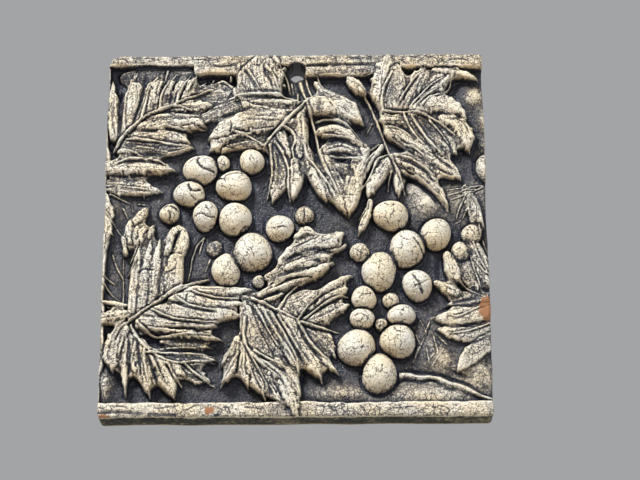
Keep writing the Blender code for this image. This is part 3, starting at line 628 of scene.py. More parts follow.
# The upper right leaf.
carve(
    tile.swell,
    (47, 18, 4, 3.4, 1.6),
    (52, 12, 3.6, 3.4, 1.6),
)
tile.leaf(
    ([(37, 50), (35.8, 60), (38.6, 78)], 5.0, 4.6, 0.3, 0, 0.75, 1, 0.8, 0.45),
    ([(40, 50.5), (40.6, 60), (41.5, 72)], 4.6, 4.2, -0.3, 1, 0.35, 0.4, 0.4),
    ([(43, 51), (48, 61), (53, 72)], 3.6, 5.0, -0.8, 2, 0.35, 1, 0.5, 0.5),
    ([(47, 51.5), (54, 59.5), (63, 68)], 3.8, 4.6, -0.6, 3, 0.4, 1, 0.5, 0.6),
    ([(57, 69.6), (66, 68.9), (75, 65.2)], 1.4, 2.8, -0.5, 1, 0.5),
    ([(48, 50), (58, 53.6), (69.5, 47)], 4.6, 4.2, 0.6, 2, 0.5),
    ([(60, 47.5), (67, 43), (70, 32.5)], 3.2, 4.0, 0.1, 2, 0.5),
    ([(35.5, 48), (42, 47.6), (52, 45)], 2.4, 3.4, -0.8, 0, 0.6),
    ([(46, 47), (56, 41), (65, 32)], 4.6, 4.2, -1.7, 4, 0.5, 0.5),
    ([(38, 42), (50, 36.5), (62, 29)], 3.6, 3.8, -0.8, 4, 0.5),
    ([(50, 32), (58, 27.5), (66.8, 20.6)], 3.8, 3.4, -0.6, 4, 0.6),
    ([(40, 31.5), (49, 27.5), (57.5, 18)], 2.6, 3.8, -0.5, 2, 0.5),
    ([(49, 22), (55, 17.5), (61.2, 8.3)], 2.6, 1.8, -0.6, 1),
    ([(27, 59), (24.5, 61.5), (20.6, 67)], 2.4, 3.0, -0.7, 1, 0.7),
    ([(41, 25), (41, 20), (41, 13.2)], 2.4, 2.2, -1.3, 2),
    ([(34.5, 36), (28.5, 27), (25.5, 16.5)], 1.8, 1.8, -1.0, 2),
    ([(37, 29), (32, 21), (28.6, 13.4)], 2.5, 2.8, -0.8, 1, 0.45),
    ([(29.5, 12.5), (28, 6), (24.4, -2.3)], 1.9, 1.9, -1.4, 2),
)
carve(
    tile.hollow,
    (66, 48.3, 1.8, 1.0, 1.2, 0.7),
    (52.5, 51.8, 3.2, 1.6, 0.7, 0.4),
    (54, 42.5, 4.0, 3.2, 0.6, 0.5),
    (66.5, 41, 1.0, 2.8, 0.6, 0.4),
    (43.8, 22.2, 1.6, 1.2, 1.5, 0.6),
    (40.5, 56.5, 2.2, 3.8, 0.3, 0.1),
    (34.5, 27.5, 1.6, 1.2, 0.5, 0.3),
    (49, 15.5, 4.5, 3.5, 0, -0.15),
)
carve(
    tile.furrow,
    ([(35.5, 51.3), (42, 51.2), (48, 51)], 0.8, 1.0, 0.5),
    ([(43.5, 57), (46.5, 61.5), (50, 67)], 0.6, 0.7, 0.3),
    ([(47.5, 55.5), (52, 60), (57.5, 64.3), (62, 67)], 0.7, 0.8, 0.4),
    ([(49.5, 53.5), (53.5, 57), (58, 59.3)], 0.6, 0.9, 0.4),
    ([(51, 58.5), (56, 62), (60, 64.5)], 0.5, 0.5, 0.2),
    ([(44, 68.5), (50, 70), (58, 70), (64, 69.6), (70, 68)], 0.6, 0.8, 0.5),
    ([(51, 48.3), (57, 49.6), (63, 48.6)], 0.8, 0.8, 0.4),
    ([(64, 47), (67.5, 45), (70.2, 40)], 0.5, 0.8, 0.5),
    ([(41, 45.2), (45, 42), (48.5, 37.5)], 0.8, 0.9, 0.5),
    ([(38.5, 40), (45, 36), (52, 31)], 0.7, 0.9, 0.4),
    ([(40.5, 36.5), (46, 33.5), (53, 28)], 0.7, 0.9, 0.4),
    ([(47.5, 41.5), (53, 36), (57.5, 30.5)], 0.6, 0.8, 0.4),
    ([(56.5, 43.5), (60, 38.5), (63.5, 31)], 0.6, 0.8, 0.4),
    ([(54, 33.5), (59, 28.5), (63, 25)], 0.5, 0.8, 0.4),
    ([(52, 29), (57, 25.5), (64, 22.2)], 0.6, 0.8, 0.4),
    ([(41, 29.3), (46, 28), (52, 24), (56, 19)], 0.6, 0.9, 0.4),
    ([(42.5, 23.2), (47, 20.7), (52, 16.7), (57, 10.5)], 0.8, 1.1, 0.4),
)
carve(
    tile.vein,
    ([(26, 60.5), (29, 56), (31.5, 50.5), (35, 41), (38, 32), (41, 24), (43.4, 15.5)], 1.3, 1.4),
    ([(35, 50.5), (42, 50.2), (48, 49.8), (53, 48.5), (58, 45.5), (64, 40)], 1, 1.0),
    ([(34.8, 50.5), (35, 57), (36.3, 62), (39.5, 68.5)], 1.2, 1.0),
    ([(43.5, 49.7), (45.3, 45), (48, 40.5), (51.5, 36)], 1, 0.9),
    ([(46.7, 48.3), (49.5, 44), (53.5, 38), (57.5, 33), (60.8, 29.5)], 1.2, 1.0),
    ([(54, 46.8), (58, 42), (61.5, 36)], 0.8, 0.7),
    ([(36, 44.3), (40, 43.6), (44, 41.6), (46.5, 39)], 1, 0.8),
    ([(40, 39.5), (44, 36.5), (48, 34.5), (53, 30)], 0.9, 0.7),
    ([(40.5, 31.4), (45, 30.3), (50, 27), (55.5, 22.5)], 1, 0.9),
    ([(42.6, 24.8), (47.5, 22.3), (53, 17.8), (57, 13), (60.5, 8.5)], 1.3, 1.1),
    ([(42.2, 55.5), (44.5, 60), (47.3, 64.2), (52, 69)], 1, 0.8),
    ([(46.2, 52.3), (50, 57.3), (55, 62.3), (60.5, 66)], 1, 0.9),
    ([(49, 53.8), (54, 58.6), (59, 61.5)], 0.8, 0.5),
    ([(51, 53), (54, 56.5), (58.5, 58.3)], 1, 0.7),
    ([(63.6, 67.5), (62.8, 62.5), (60.3, 58.8)], 1.6, 0.6, 0.2),
    ([(37, 32.7), (33, 30), (31, 26), (29, 21.5), (25.7, 16.5)], 1, 1.0),
    ([(33.7, 38), (30.5, 35.2), (27.3, 32.3)], 1.2, 0.9),
    ([(31, 33), (28.5, 28.5), (25.8, 22)], 0.8, 0.6),
    ([(38.3, 25), (37.2, 21), (36.7, 17)], 1, 0.8),
    ([(27.8, 9.8), (25, 5)], 1, 0.8),
    ([(31, 47), (28.5, 42)], 0.7, 0.6),
)

# The curled buds and the upright blades at the left edge.
tile.leaf(
    ([(-75.4, 15), (-74.2, 8), (-75.2, -2), (-76, -13)], 2.4, 2.8, -1.9, 2),
    ([(-63.5, 4), (-60.8, 7), (-58, 10.4)], 2.4, 2.2, -0.9, 0),
    ([(-65.3, -4), (-65.8, 1), (-65.5, 6.2)], 2.0, 2.0, -1.1, 0),
    ([(-62.6, -5), (-62.8, -1), (-62.6, 3.2)], 1.9, 1.8, -1.3, 0),
    ([(-61.5, -4.5), (-60, -1), (-58.8, 3.2)], 2.1, 2.1, -0.9, 0),
    ([(-57.8, -2.5), (-57, 1), (-55.6, 3.6)], 1.4, 1.5, -1.2, 0),
    ([(-67, -9), (-67.8, -5), (-68.6, -0.5)], 1.7, 1.7, -1.1, 0),
    ([(-60, -36), (-57.5, -20), (-57, -2.5)], 6, 9, -2.2, 5, 0.5, 1, 0.4),
    ([(-64, -36), (-63, -20), (-61.2, -3.5)], 2.2, 2.4, -0.9, 3, 0.8, 0.7),
    ([(-60.5, -36), (-59, -20), (-57, -2.6)], 2.4, 2.6, -0.6, 3, 0.5, 0.6),
    ([(-56, -33), (-54.8, -18), (-53.4, -1.8)], 2.4, 2.2, -0.6, 3, 0.5, 0.6),
    ([(-53, -31), (-51.8, -22), (-51.3, -12)], 1.3, 1.4, -0.9, 1),
    ([(-48, -26), (-47.5, -17), (-47, -8.5)], 4.2, 3.8, -0.6, 1, 0.4, 0.5),
    ([(-50.5, -9.5), (-49.5, -5.5), (-48.4, -1)], 2.2, 1.9, -0.6, 0, 0.4),
    ([(-49.6, -2.2), (-46, 1), (-41.8, -1.6)], 2.0, 1.9, -0.7, 0, 0.4),
    ([(-46, -10), (-44, -4.5), (-44.2, 0.5)], 2.8, 2.6, -0.4, 0, 0.4),
)
for points, rise in (
    ([(-36, -1.5), (-39, -5), (-41, -11), (-41.3, -15), (-42.5, -21)], 1.5),
    ([(-36.3, -2), (-37.5, -5.5), (-38.5, -9)], 1.1),
    ([(-33.5, -10), (-35, -14), (-35.8, -16)], 0.8),
    ([(-67.3, -33), (-67.8, -20), (-68, -8)], 1.4),
    ([(-67.8, -19), (-70.5, -14), (-72.7, -8)], 1.3),
    ([(-66, -18), (-62, -11.5)], 1.2),
    ([(-65, -12.5), (-61.8, -4.8)], 1.2),
    ([(-75.5, -20.5), (-72, -25.5), (-68.5, -28.3)], 1.3),
    ([(-76, -17.5), (-71, -21)], 1.0),
    ([(-74, -30.5), (-67.5, -33.5)], 1.0),
    ([(-74, 16.5), (-69, 14.2), (-65.5, 12.8)], 1.0),
    ([(-63, 12.8), (-58, 12.2)], 1.0),
    ([(-68.7, 10.8), (-66.6, 6.5)], 1.1),
    ([(-65.4, 12.6), (-64.7, 9)], 0.9),
    ([(-74.8, 8.2), (-72.2, 4), (-70.4, 1), (-68.4, -1.5)], 1.0),
):
    tile.vein(points, width=0.65, rise=rise)
carve(
    tile.crack,
    ([(-62, -17.5), (-59, -16), (-55, -16.6)], 0.35, 0.6),
    ([(-51, -17.4), (-49, -17), (-47, -15.4)], 0.35, 0.6),
)
carve(
    tile.furrow,
    ([(-46.6, -1.4), (-47.4, -3.8), (-48.4, -7.4)], 0.6, 1.5, 0.9),
    ([(-51, -9.6), (-48, -9.2), (-44, -9.8)], 0.5, 0.8, 0.5),
    ([(-60.3, -3.5), (-59.5, -1), (-57.6, 0.8)], 0.5, 0.8, 0.5),
)

# The leaf ends at the right edge, the stem, and tendrils scratched into the ground.
tile.leaf(
    ([(69, 17), (72.5, 8), (73.5, -3)], 1.8, 4.5, -1.9, 3, 0.5),
    ([(71.8, 12.5), (73, 6), (75, 0.5)], 1.4, 3.0, -0.7, 1, 0.5),
    ([(69.5, -4), (73, -14), (76.5, -24)], 2.6, 5.0, -1.5, 1, 0.5),
    ([(67, -12), (69, -19), (72, -26.5)], 2.4, 3.0, -2.3, 0),
    ([(60, -11), (61.5, -16), (64, -22)], 3.0, 3.0, -0.8, 0, 0.4),
    ([(55.5, -21.6), (60, -24), (66.5, -28)], 1.6, 2.6, -0.8, 1, 0.5),
    ([(78, -28.5), (68, -28.8), (58.5, -31)], 2.2, 2.6, -2.3, 1, 0.5, 0.4),
    ([(79, -42.5), (68, -43.8), (54.5, -41.2)], 3.4, 3.8, -1.0, 1, 0.4, 0.3),
    ([(79, -34), (67, -36), (54, -37.2)], 3.8, 3.8, -0.5, 1, 0.3, 0.3),
    ([(79, -45), (70, -50.6), (61.8, -59)], 3.6, 4.6, -0.8, 0, 0.6, 0.2, 0.8, 0.75, 0.6),
    rises=((52, -46, 9, 9, 1.5), (69, -52, 7, 6, 2.2)),
)
carve(
    tile.vein,
    ([(76, -31), (71.7, -32.4), (66.3, -35.1), (62.8, -36.5), (59.7, -35.6)], 0.9, 0.8),
    ([(78, -38), (71.7, -40.6), (66.3, -42.2), (60.5, -42.9)], 0.9, 0.8),
)
carve(
    tile.furrow,
    ([(55.2, -33.3), (61, -31.5), (68, -31.5), (73, -30)], 0.45, 0.8, 0.5),
    ([(57, -40), (62, -40.4), (70, -39), (77, -36.5)], 0.5, 0.6, 0.3),
    ([(64, -47.3), (69, -46.8), (75, -44.2)], 0.5, 0.6, 0.3),
)
stem = [(39.5, -59), (43.5, -58.9), (47, -59.8), (51.5, -59.9), (55.5, -60.7)]
stem += [(59.5, -62.8), (64, -63.9), (69, -66.8), (76, -69.5)]
tile.vein(stem, width=2.3, rise=1.8, groove=0.4)
tile.furrow([(40, -57.4), (47, -57.6), (54, -58.6), (62, -61.8), (70, -65)], width=0.8, depth=0.6, ink_and_shade=0.5)
for points in (
    [(70, -5), (72, -12), (76.5, -21)],
    [(68.5, -10), (70.5, -18), (73, -26)],
    [(72.5, 2), (74, -4), (76.5, -12)],
    [(64, -21), (68, -25), (73, -27.2)],
    [(75, 19.6), (68, 18.2), (60, 17.4)],
    [(75, 19), (69, 15.6), (61.5, 13)],
    [(72, 17.6), (66, 16.4), (60.5, 15)],
    [(67.5, 14.5), (64.5, 8), (62.5, 1)],
    [(68.3, 13.5), (68.8, 6)],
    [(68, 9), (65.8, 5), (63.2, 3.5)],
    [(70, 14), (72, 10), (71.8, 4)],
    [(71, -14), (74, -18), (77, -19)],
):
    tile.vein(points, width=0.65, rise=0.9)
tile.furrow([(60, -30.2), (67, -29.2), (72, -27.6)], width=0.8, depth=0.8, ink_and_shade=0.5)
for top, foot in (
    ((49.8, -44), (45, -54.5)),
    ((47.5, -47), (46, -52)),
    ((50.6, -48), (52, -56)),
    ((53.5, -43.5), (55.3, -51.5)),
    ((57.5, -48.5), (52, -56.3)),
    ((53.8, -50.3), (49.5, -54.8)),
    ((48.5, -36), (51, -42.5)),
    ((52.3, -37), (50, -42)),
    ((55.5, -44), (58.8, -47)),
    ((46.5, -42), (48.3, -46.5)),
):
    tile.vein([top, foot], width=0.6, rise=0.6, groove=0.3)
carve(
    tile.hollow,
    (56.8, -15.5, 1.6, 5.0, 0.9, 0.6),
    (66.5, -9.5, 1.0, 1.6, 0.6, 0.5),
)

# The lower left leaf.
tile.leaf(
    ([(-52, -45), (-42, -46.6), (-31, -47.4)], 1.5, 2.0, -2.8, 0, 0.8, 0.5),
    ([(-56, -50.5), (-44, -52), (-30, -52.5)], 2.6, 3.2, -2.5, 2, 0.5, 0.5),
    ([(-46, -56), (-39, -59), (-32, -62)], 3.0, 2.6, -2.9, 2),
    ([(-65, -34.5), (-71, -36), (-79, -37.5)], 1.8, 3.0, -0.4, 2, 0.4),
    ([(-66, -30.5), (-71, -30), (-79, -28.5)], 1.5, 1.5, -1.8, 1),
    ([(-43, -24.8), (-30, -25.2), (-15.5, -24.6)], 2.4, 2.4, -0.7, 2, 0.5, 0.5),
    ([(-61, -39), (-46, -41.6), (-26, -45)], 2.0, 2.2, -0.3, 2),
    ([(-60.5, -37), (-48, -38), (-29.5, -39.6)], 2.8, 2.6, -0.3, 2, 0.4, 0.5),
    ([(-57, -33), (-42, -33.8), (-19.5, -35.4)], 3.4, 3.2, 0.1, 1, 0.45, 0.4, 0.5),
    ([(-48, -27.5), (-34, -29), (-18.8, -30.6)], 2.8, 3.0, 0.1, 1, 0.5, 0.5, 0.5),
    ([(-66.5, -40.5), (-71.5, -49), (-70.4, -59)], 3.6, 3.6, 0.2, 2, 0.6),
    ([(-66, -44), (-66, -55), (-65.4, -69)], 1.8, 1.8, -0.6, 1),
    ([(-63, -44), (-62.3, -52), (-61.6, -60)], 2.6, 2.6, -0.6, 2),
    ([(-59, -46), (-57.5, -57), (-55.7, -69)], 2.6, 3.4, -0.4, 3),
    ([(-54.5, -51), (-50, -60), (-46.2, -69)], 4.0, 3.4, -0.1, 3, 0.65),
    ([(-49, -54), (-45.5, -56.5), (-41.5, -60)], 2.0, 2.2, -0.9, 1),
)
carve(
    tile.hollow,
    (-25, -40.6, 3.6, 3.2, 0.6, 0.1),
    (-39, -45.1, 8.0, 0.7, 0.6, 0.6),
    (-30.5, -48, 1.6, 3.0, 0.5, 0.4),
    (-40, -49.2, 8.0, 0.5, 0.3, 0.4),
    (-62, -61.8, 2.6, 1.4, 0.6, 0.6),
    (-68, -57, 1.0, 3.0, 0.6, 0.5),
    (-51.5, -46.5, 1.5, 1.0, 0.5),
    (-57.5, -43.5, 2.6, 1.6, 0.7, 0.4),
)
carve(
    tile.furrow,
    ([(-60, -33.8), (-54, -30.4), (-48, -26.6), (-42, -23.6)], 0.6, 0.9, 0.4),
    ([(-41, -26.3), (-34, -28.1), (-25, -29.3), (-20, -28.4)], 0.5, 0.9, 0.4),
    ([(-47.5, -29.3), (-43, -31.8), (-37, -33.3), (-30, -34)], 0.45, 0.9, 0.5),
    ([(-55, -34.3), (-50, -36.6), (-43, -38), (-31, -38.9)], 0.5, 0.9, 0.5),
    ([(-50, -40.2), (-42, -40.6), (-31, -40.8)], 0.4, 0.8, 0.45),
    ([(-60, -38), (-56.5, -41), (-52, -42.3), (-46, -42.2)], 0.6, 0.9, 0.4),
    ([(-40, -24.6), (-30, -24.2), (-22, -24)], 0.5, 0.3, 0.15),
    ([(-62.5, -41), (-59.5, -46), (-55, -50.7), (-49, -52.5)], 0.7, 0.8, 0.4),
    ([(-49, -49), (-40, -49.2), (-31, -49.7)], 0.5, 0.7, 0.5),
    ([(-48, -51.5), (-40, -51.8), (-31, -52.5)], 0.5, 0.7, 0.45),
    ([(-64.3, -45), (-64, -52), (-64.4, -60)], 0.5, 0.9, 0.4),
    ([(-60.7, -46.5), (-60, -54), (-59.5, -60)], 0.5, 0.9, 0.4),
    ([(-56.8, -50.5), (-55, -57), (-52.5, -64)], 0.6, 1.0, 0.45),
    ([(-53.7, -54), (-51.3, -59.5), (-48.3, -65)], 0.45, 0.7, 0.3),
    ([(-50.3, -54.5), (-47, -60), (-44.6, -63.5)], 0.6, 0.9, 0.4),
    ([(-69.5, -44), (-72.3, -48.5), (-72.3, -53)], 0.5, 0.4, 0.2),
)
carve(
    tile.vein,
    (
        [(-34, -19.5), (-40, -21.3), (-46, -23.9), (-55, -30.2),
         (-64.5, -37), (-69, -42), (-71, -47)],
        1.4, 1.4,
    ),
    ([(-38, -20.6), (-43, -23.2), (-48, -26.6)], 0.9, 0.5, 0.2),
    ([(-64, -38.5), (-61, -44), (-57, -48.5), (-53, -51.5), (-48, -53.5), (-43, -54)], 1.2, 1.1),
    ([(-43, -53.8), (-38.5, -58), (-34.5, -61.2), (-31, -63.2)], 1.1, 1.1),
    ([(-58, -49.8), (-50, -50.2), (-42, -50.1), (-31.5, -51)], 1, 0.9),
    ([(-44, -53.7), (-37, -53.2), (-30.5, -53.7)], 0.9, 0.8),
    ([(-50, -48), (-42, -47.7), (-37, -48.3)], 0.8, 0.6),
    ([(-61.5, -37.6), (-58, -41), (-54, -43.3), (-47, -43.4), (-40, -42.4), (-30, -43.4)], 1.3, 1.0),
    ([(-46, -28), (-42, -30.7), (-36, -32.4), (-31, -33.1)], 0.9, 0.6, 0.9),
    ([(-56, -32.3), (-51, -35), (-46, -36.7), (-38, -37.6), (-31, -37.8)], 0.9, 0.7, 0.9),
    ([(-40, -25.4), (-34, -27.3), (-28, -28.2), (-22, -28.2)], 0.9, 0.6, 0.9),
    ([(-50, -39.3), (-40, -39.7), (-31, -39.9)], 0.8, 0.5, 0.8),
    ([(-66.8, -44), (-68.3, -51)], 1, 0.7),
    ([(-62, -46), (-63.2, -53)], 1, 0.7),
    ([(-58.3, -48), (-58, -55), (-56.5, -62)], 1, 0.8),
    ([(-55.3, -52), (-52.7, -57.5), (-50, -62)], 1, 0.8),
    ([(-49.3, -54), (-46.7, -59), (-44, -63)], 1, 0.8),
)
tile.crack([(-42.2, -26.4), (-42.7, -30)], width=0.35, depth=0.6)

# The lower leaf, which reaches over the bar.
tile.leaf(
    ([(-21, -26.5), (-16, -28.6), (-10, -31)], 3.0, 2.6, -1.9, 0, 0.4),
    ([(-14.5, -32), (-10.5, -43), (-3.5, -55)], 3.0, 3.0, -1.1, 0, 0.4),
    ([(4, -40), (11, -45), (16, -53)], 3.5, 3.0, -2.7, 0),
    ([(4, -37.5), (13, -34), (21.5, -30)], 3.6, 3.2, -1.9, 1, 0.5),
    ([(7, -30), (14, -26.5), (21, -23.5)], 2.4, 2.6, -1.5, 3, 0.5),
    ([(10, -26), (16, -21.5), (23.4, -18)], 1.6, 2.4, -0.5, 1),
    ([(12, -8.3), (17, -7.8), (21, -4.2)], 1.1, 1.1, -1.4, 0),
    ([(-5.5, -11.8), (2, -6), (13, -1.5)], 2.6, 3.4, -1.3, 3, 0.4, 1, 0.4),
    ([(0.5, -2.5), (4, -0.5), (8, -2)], 2.4, 1.5, -1.2, 0, 0.5),
    ([(2, -8), (11, -4.5), (19.8, -0.8)], 2.6, 3.6, -0.3, 1, 0.45),
    ([(-11, -19), (-2, -15.8), (8, -14)], 2.2, 2.6, -1.8, 2, 0.5, 1, 0.4),
    ([(-3, -15), (6, -12), (14.8, -10.3)], 1.8, 3.0, -0.6, 2, 0.45),
    ([(-7, -21), (5, -18), (15.8, -13)], 1.8, 2.8, -0.1, 1, 0.5),
    ([(-14, -27), (-3, -22.4), (7, -19.5)], 2.0, 2.0, -0.8, 3, 0.5),
    ([(-13, -29.5), (-8.5, -28.3), (-4, -26)], 1.4, 1.4, -0.7, 0, 0.5),
    ([(-4.5, -32), (1.5, -30), (9, -25.5)], 4.0, 4.4, -0.9, 1, 0.4, 1, 0.5),
    ([(-22.5, -44.5), (-24.6, -50), (-29.5, -56.5)], 2.0, 2.4, -0.7, 1),
    ([(-21, -46.5), (-24.3, -55.5), (-29.7, -65)], 2.6, 2.2, -0.7, 2),
    ([(-20, -46), (-19.7, -56), (-17.6, -66)], 2.2, 2.4, -0.5, 3),
    ([(-18, -50), (-15, -60), (-11, -70.3)], 2.6, 2.4, -0.3, 3),
    ([(-16, -52), (-10, -61), (-5, -71.5)], 2.8, 2.8, -0.1, 4, 0.5),
    ([(-14, -50.5), (-4, -60), (1.2, -78)], 3.2, 4.2, 0.7, 2, 0.55),
    ([(-6, -56), (-1, -61), (2.8, -69)], 2.2, 2.2, 0.0, 1),
    ([(3, -45), (10, -52), (17.8, -60)], 1.5, 2.2, -0.8, 3),
    ([(-5, -34.5), (3, -48), (11, -63.2)], 3.6, 3.4, -0.1, 4, 0.6),
    ([(-13, -31.5), (-5, -45), (2.2, -60.3)], 3.4, 3.4, -0.2, 4, 0.65),
    ([(-18.5, -32), (-16, -42), (-8, -54)], 2.2, 5.0, -0.6, 0, 0.4, 0.3, 0.4),
)
carve(
    tile.hollow,
    (8, -12.7, 1.6, 0.8, 0.9, 0.7),
    (15.5, -8.9, 3.0, 0.7, 0.9, 0.6),
    (4, -12, 2.5, 0.8, 0.5, 0.4),
    (-12.5, -44.5, 2.6, 4.5, 0.4, 0.18),
    (-3, -72.8, 1.4, 1.0, 0.9, 0.7),
    (-0.8, -75.4, 0.9, 0.7, 0.7, 0.6),
    (2.5, -59, 1.0, 2.2, 0.8, 0.5),
)
carve(
    tile.furrow,
    ([(-6, -12.7), (4, -8.8), (10, -8.3), (14, -8.5)], 0.8, 1.0, 0.5),
    ([(-2, -7.5), (6, -4), (12, -1.5)], 0.5, 0.4, 0.25),
    ([(-7, -18.7), (1, -16.6), (9, -15), (13, -12.5)], 0.5, 0.6, 0.35),
    ([(-8, -23.8), (-2, -20.8), (4, -19.2)], 0.5, 0.8, 0.4),
    ([(-12, -25), (-8, -21.8), (-3, -20)], 0.5, 0.8, 0.4),
    ([(-5.6, -30), (-4.8, -27.5), (-2, -25), (3, -23.3)], 0.9, 1.2, 0.5),
    ([(-14, -28.8), (-10, -27), (-6, -25.3)], 0.5, 0.9, 0.5),
    ([(4, -36.4), (9, -33), (13.5, -30.4), (18, -28)], 0.5, 0.8, 0.4),
    ([(2, -36.3), (7, -30.5), (12, -26)], 0.5, 0.7, 0.3),
    ([(9, -27.5), (14, -24.7), (20, -21.5)], 0.45, 0.6, 0.3),
    ([(3, -38.8), (9, -41), (16, -42.8)], 0.6, 0.6, 0.4),
    ([(-0.3, -38.5), (2.7, -44), (6.5, -49.5), (10.5, -54)], 0.7, 1.1, 0.5),
    ([(-14.8, -34), (-10, -42), (-5, -50.5), (-2, -56)], 0.6, 0.9, 0.45),
    ([(-11.5, -34), (-6.5, -42), (-1.5, -50), (1, -56)], 0.45, 0.7, 0.4),
    ([(-8.3, -35), (-4.5, -41), (0, -49), (3.5, -56)], 0.6, 1.0, 0.45),
    ([(-5, -36.5), (-0.8, -43.5), (3.5, -51), (7, -57.5)], 0.45, 0.7, 0.35),
    ([(-2.3, -37.5), (1.3, -44), (6, -51.5), (9, -57)], 0.45, 0.6, 0.3),
    ([(-18.8, -47), (-17, -52.5), (-13.7, -56.5)], 0.7, 1.0, 0.45),
    ([(-17, -55), (-15.3, -60.5), (-12.5, -66)], 0.5, 0.9, 0.45),
    ([(-14.5, -57.5), (-11, -62.5), (-8.3, -67.5)], 0.6, 0.9, 0.5),
    ([(-13.5, -51.5), (-8, -56), (-3, -58.6)], 0.6, 1.0, 0.5),
    ([(-12, -55), (-7, -59.6), (-3.5, -64.5)], 0.5, 0.8, 0.4),
    ([(-9.5, -61), (-6.5, -65.5), (-4, -71)], 0.5, 0.8, 0.45),
    ([(-21.5, -49), (-22.3, -54), (-22.5, -59)], 0.5, 0.9, 0.4),
    ([(-3, -62), (0, -67), (0.8, -72)], 0.4, 0.4, 0.2),
)
carve(
    tile.vein,
    ([(-17, -28), (-12, -30.6), (-7, -33.3), (-2.5, -35.6), (2, -37.6)], 1.3, 1.3),
    ([(0.5, -37), (3.3, -42), (6.5, -47), (9.5, -50.5), (13.5, -54), (16.3, -57.5)], 1.2, 1.2),
    ([(3.5, -36.5), (8, -33), (12, -30), (17, -27.3), (21, -27)], 1.1, 1.0),
    ([(2, -37.8), (8, -39.5), (17.2, -41.6)], 1.1, 1.2),
    ([(-7, -33.5), (-5, -30.3), (-3.2, -26.8), (0.5, -23.5)], 1.2, 1.1),
    ([(1, -36.8), (5, -31), (10, -26.5)], 0.8, 0.5),
    ([(-19.7, -36), (-20.2, -43), (-18.3, -49.5), (-15, -55), (-10.5, -64)], 1.1, 1.0),
    ([(-18.5, -48.5), (-14.5, -53.5), (-10, -57.3), (-5.5, -61)], 1.1, 1.0),
    ([(-16, -49.5), (-10, -53), (-3.5, -56.8)], 1.1, 1.0),
    ([(-16, -31), (-11.5, -39.5), (-6.5, -48)], 1, 0.9),
    ([(-13, -32.5), (-8.5, -40.5), (-3.5, -49.5)], 1, 0.9),
    ([(-9.5, -34), (-5, -41.5), (0, -51)], 1, 0.8),
    ([(-6.7, -35.5), (-2, -43.5), (3, -52)], 1, 0.8),
    ([(-13, -25.5), (-7, -21.5), (-1, -19)], 0.9, 0.7),
    ([(-9, -23.5), (-3, -20.2), (4, -18.2)], 0.8, 0.5),
    ([(-24, -46.5), (-26, -51), (-28.5, -55.5)], 0.8, 0.6),
    ([(-22, -50), (-25.3, -56), (-28.5, -62.5)], 0.8, 0.6),
)
tile.crack([(-10, -62), (-7, -66.5)], width=0.4, depth=0.6)

# The two bunches and the single berries, each with its half width and half height.
carve(
    tile.grape,
    (-38, 26.5, 6.7, 6.3, 1, 1),
    (-29, 29.5, 2.6, 3.2, 0.6),
    (-17.5, 30, 5, 5, 0.85),
    (-24.5, 19.5, 6.8, 6.5, 1, 1),
    (-42.3, 16.2, 6, 5.5, 0.9, 1),
    (-50, 8, 4, 4, 0.7, 1),
    (-35.8, 7, 4.8, 6.3, 0.9),
    (-24, 5.5, 6.3, 6.8),
    (-27.3, -16, 5.6, 6.6, 0.95),
    (-17, -8.5, 7.4, 8.3),
    (-32, -6.5, 3.5, 3.5, 0.35),
    (-6.3, 1.5, 5.6, 5.3, 0.85),
    (3.5, 7.2, 3.8, 4, 0.5),
    (-14.5, -20.5, 2.5, 2.5, 0.45),
    (37.8, 6.5, 6.8, 6.4),
    (55.5, -1.5, 6, 6.5, 0.95),
    (43.8, -7.5, 7, 7.8),
    (32.8, -16.8, 6.8, 8),
    (47.7, -22.7, 5.7, 6.3, 0.95),
    (25.3, -8.8, 4, 3.9, 0.6),
    (26.7, -28, 4.8, 4.8, 0.85),
    (37.3, -29, 3.3, 3.3, 0.6),
    (26, -36.5, 4.8, 4.2, 0.85),
    (41.3, -35, 5.3, 4.3, 0.85),
    (33.3, -38.7, 2.4, 2.7, 0.5),
    (23.7, -48, 7.5, 7.2),
    (39.7, -45.5, 7, 6.5),
    (32.3, -58.8, 6.7, 8),
    (69.5, -1.5, 3.8, 4.2, 0.65),
    (65, -9, 3.8, 4.3, 0.65),
    (78, 27, 6, 6.5, 0.7),
)
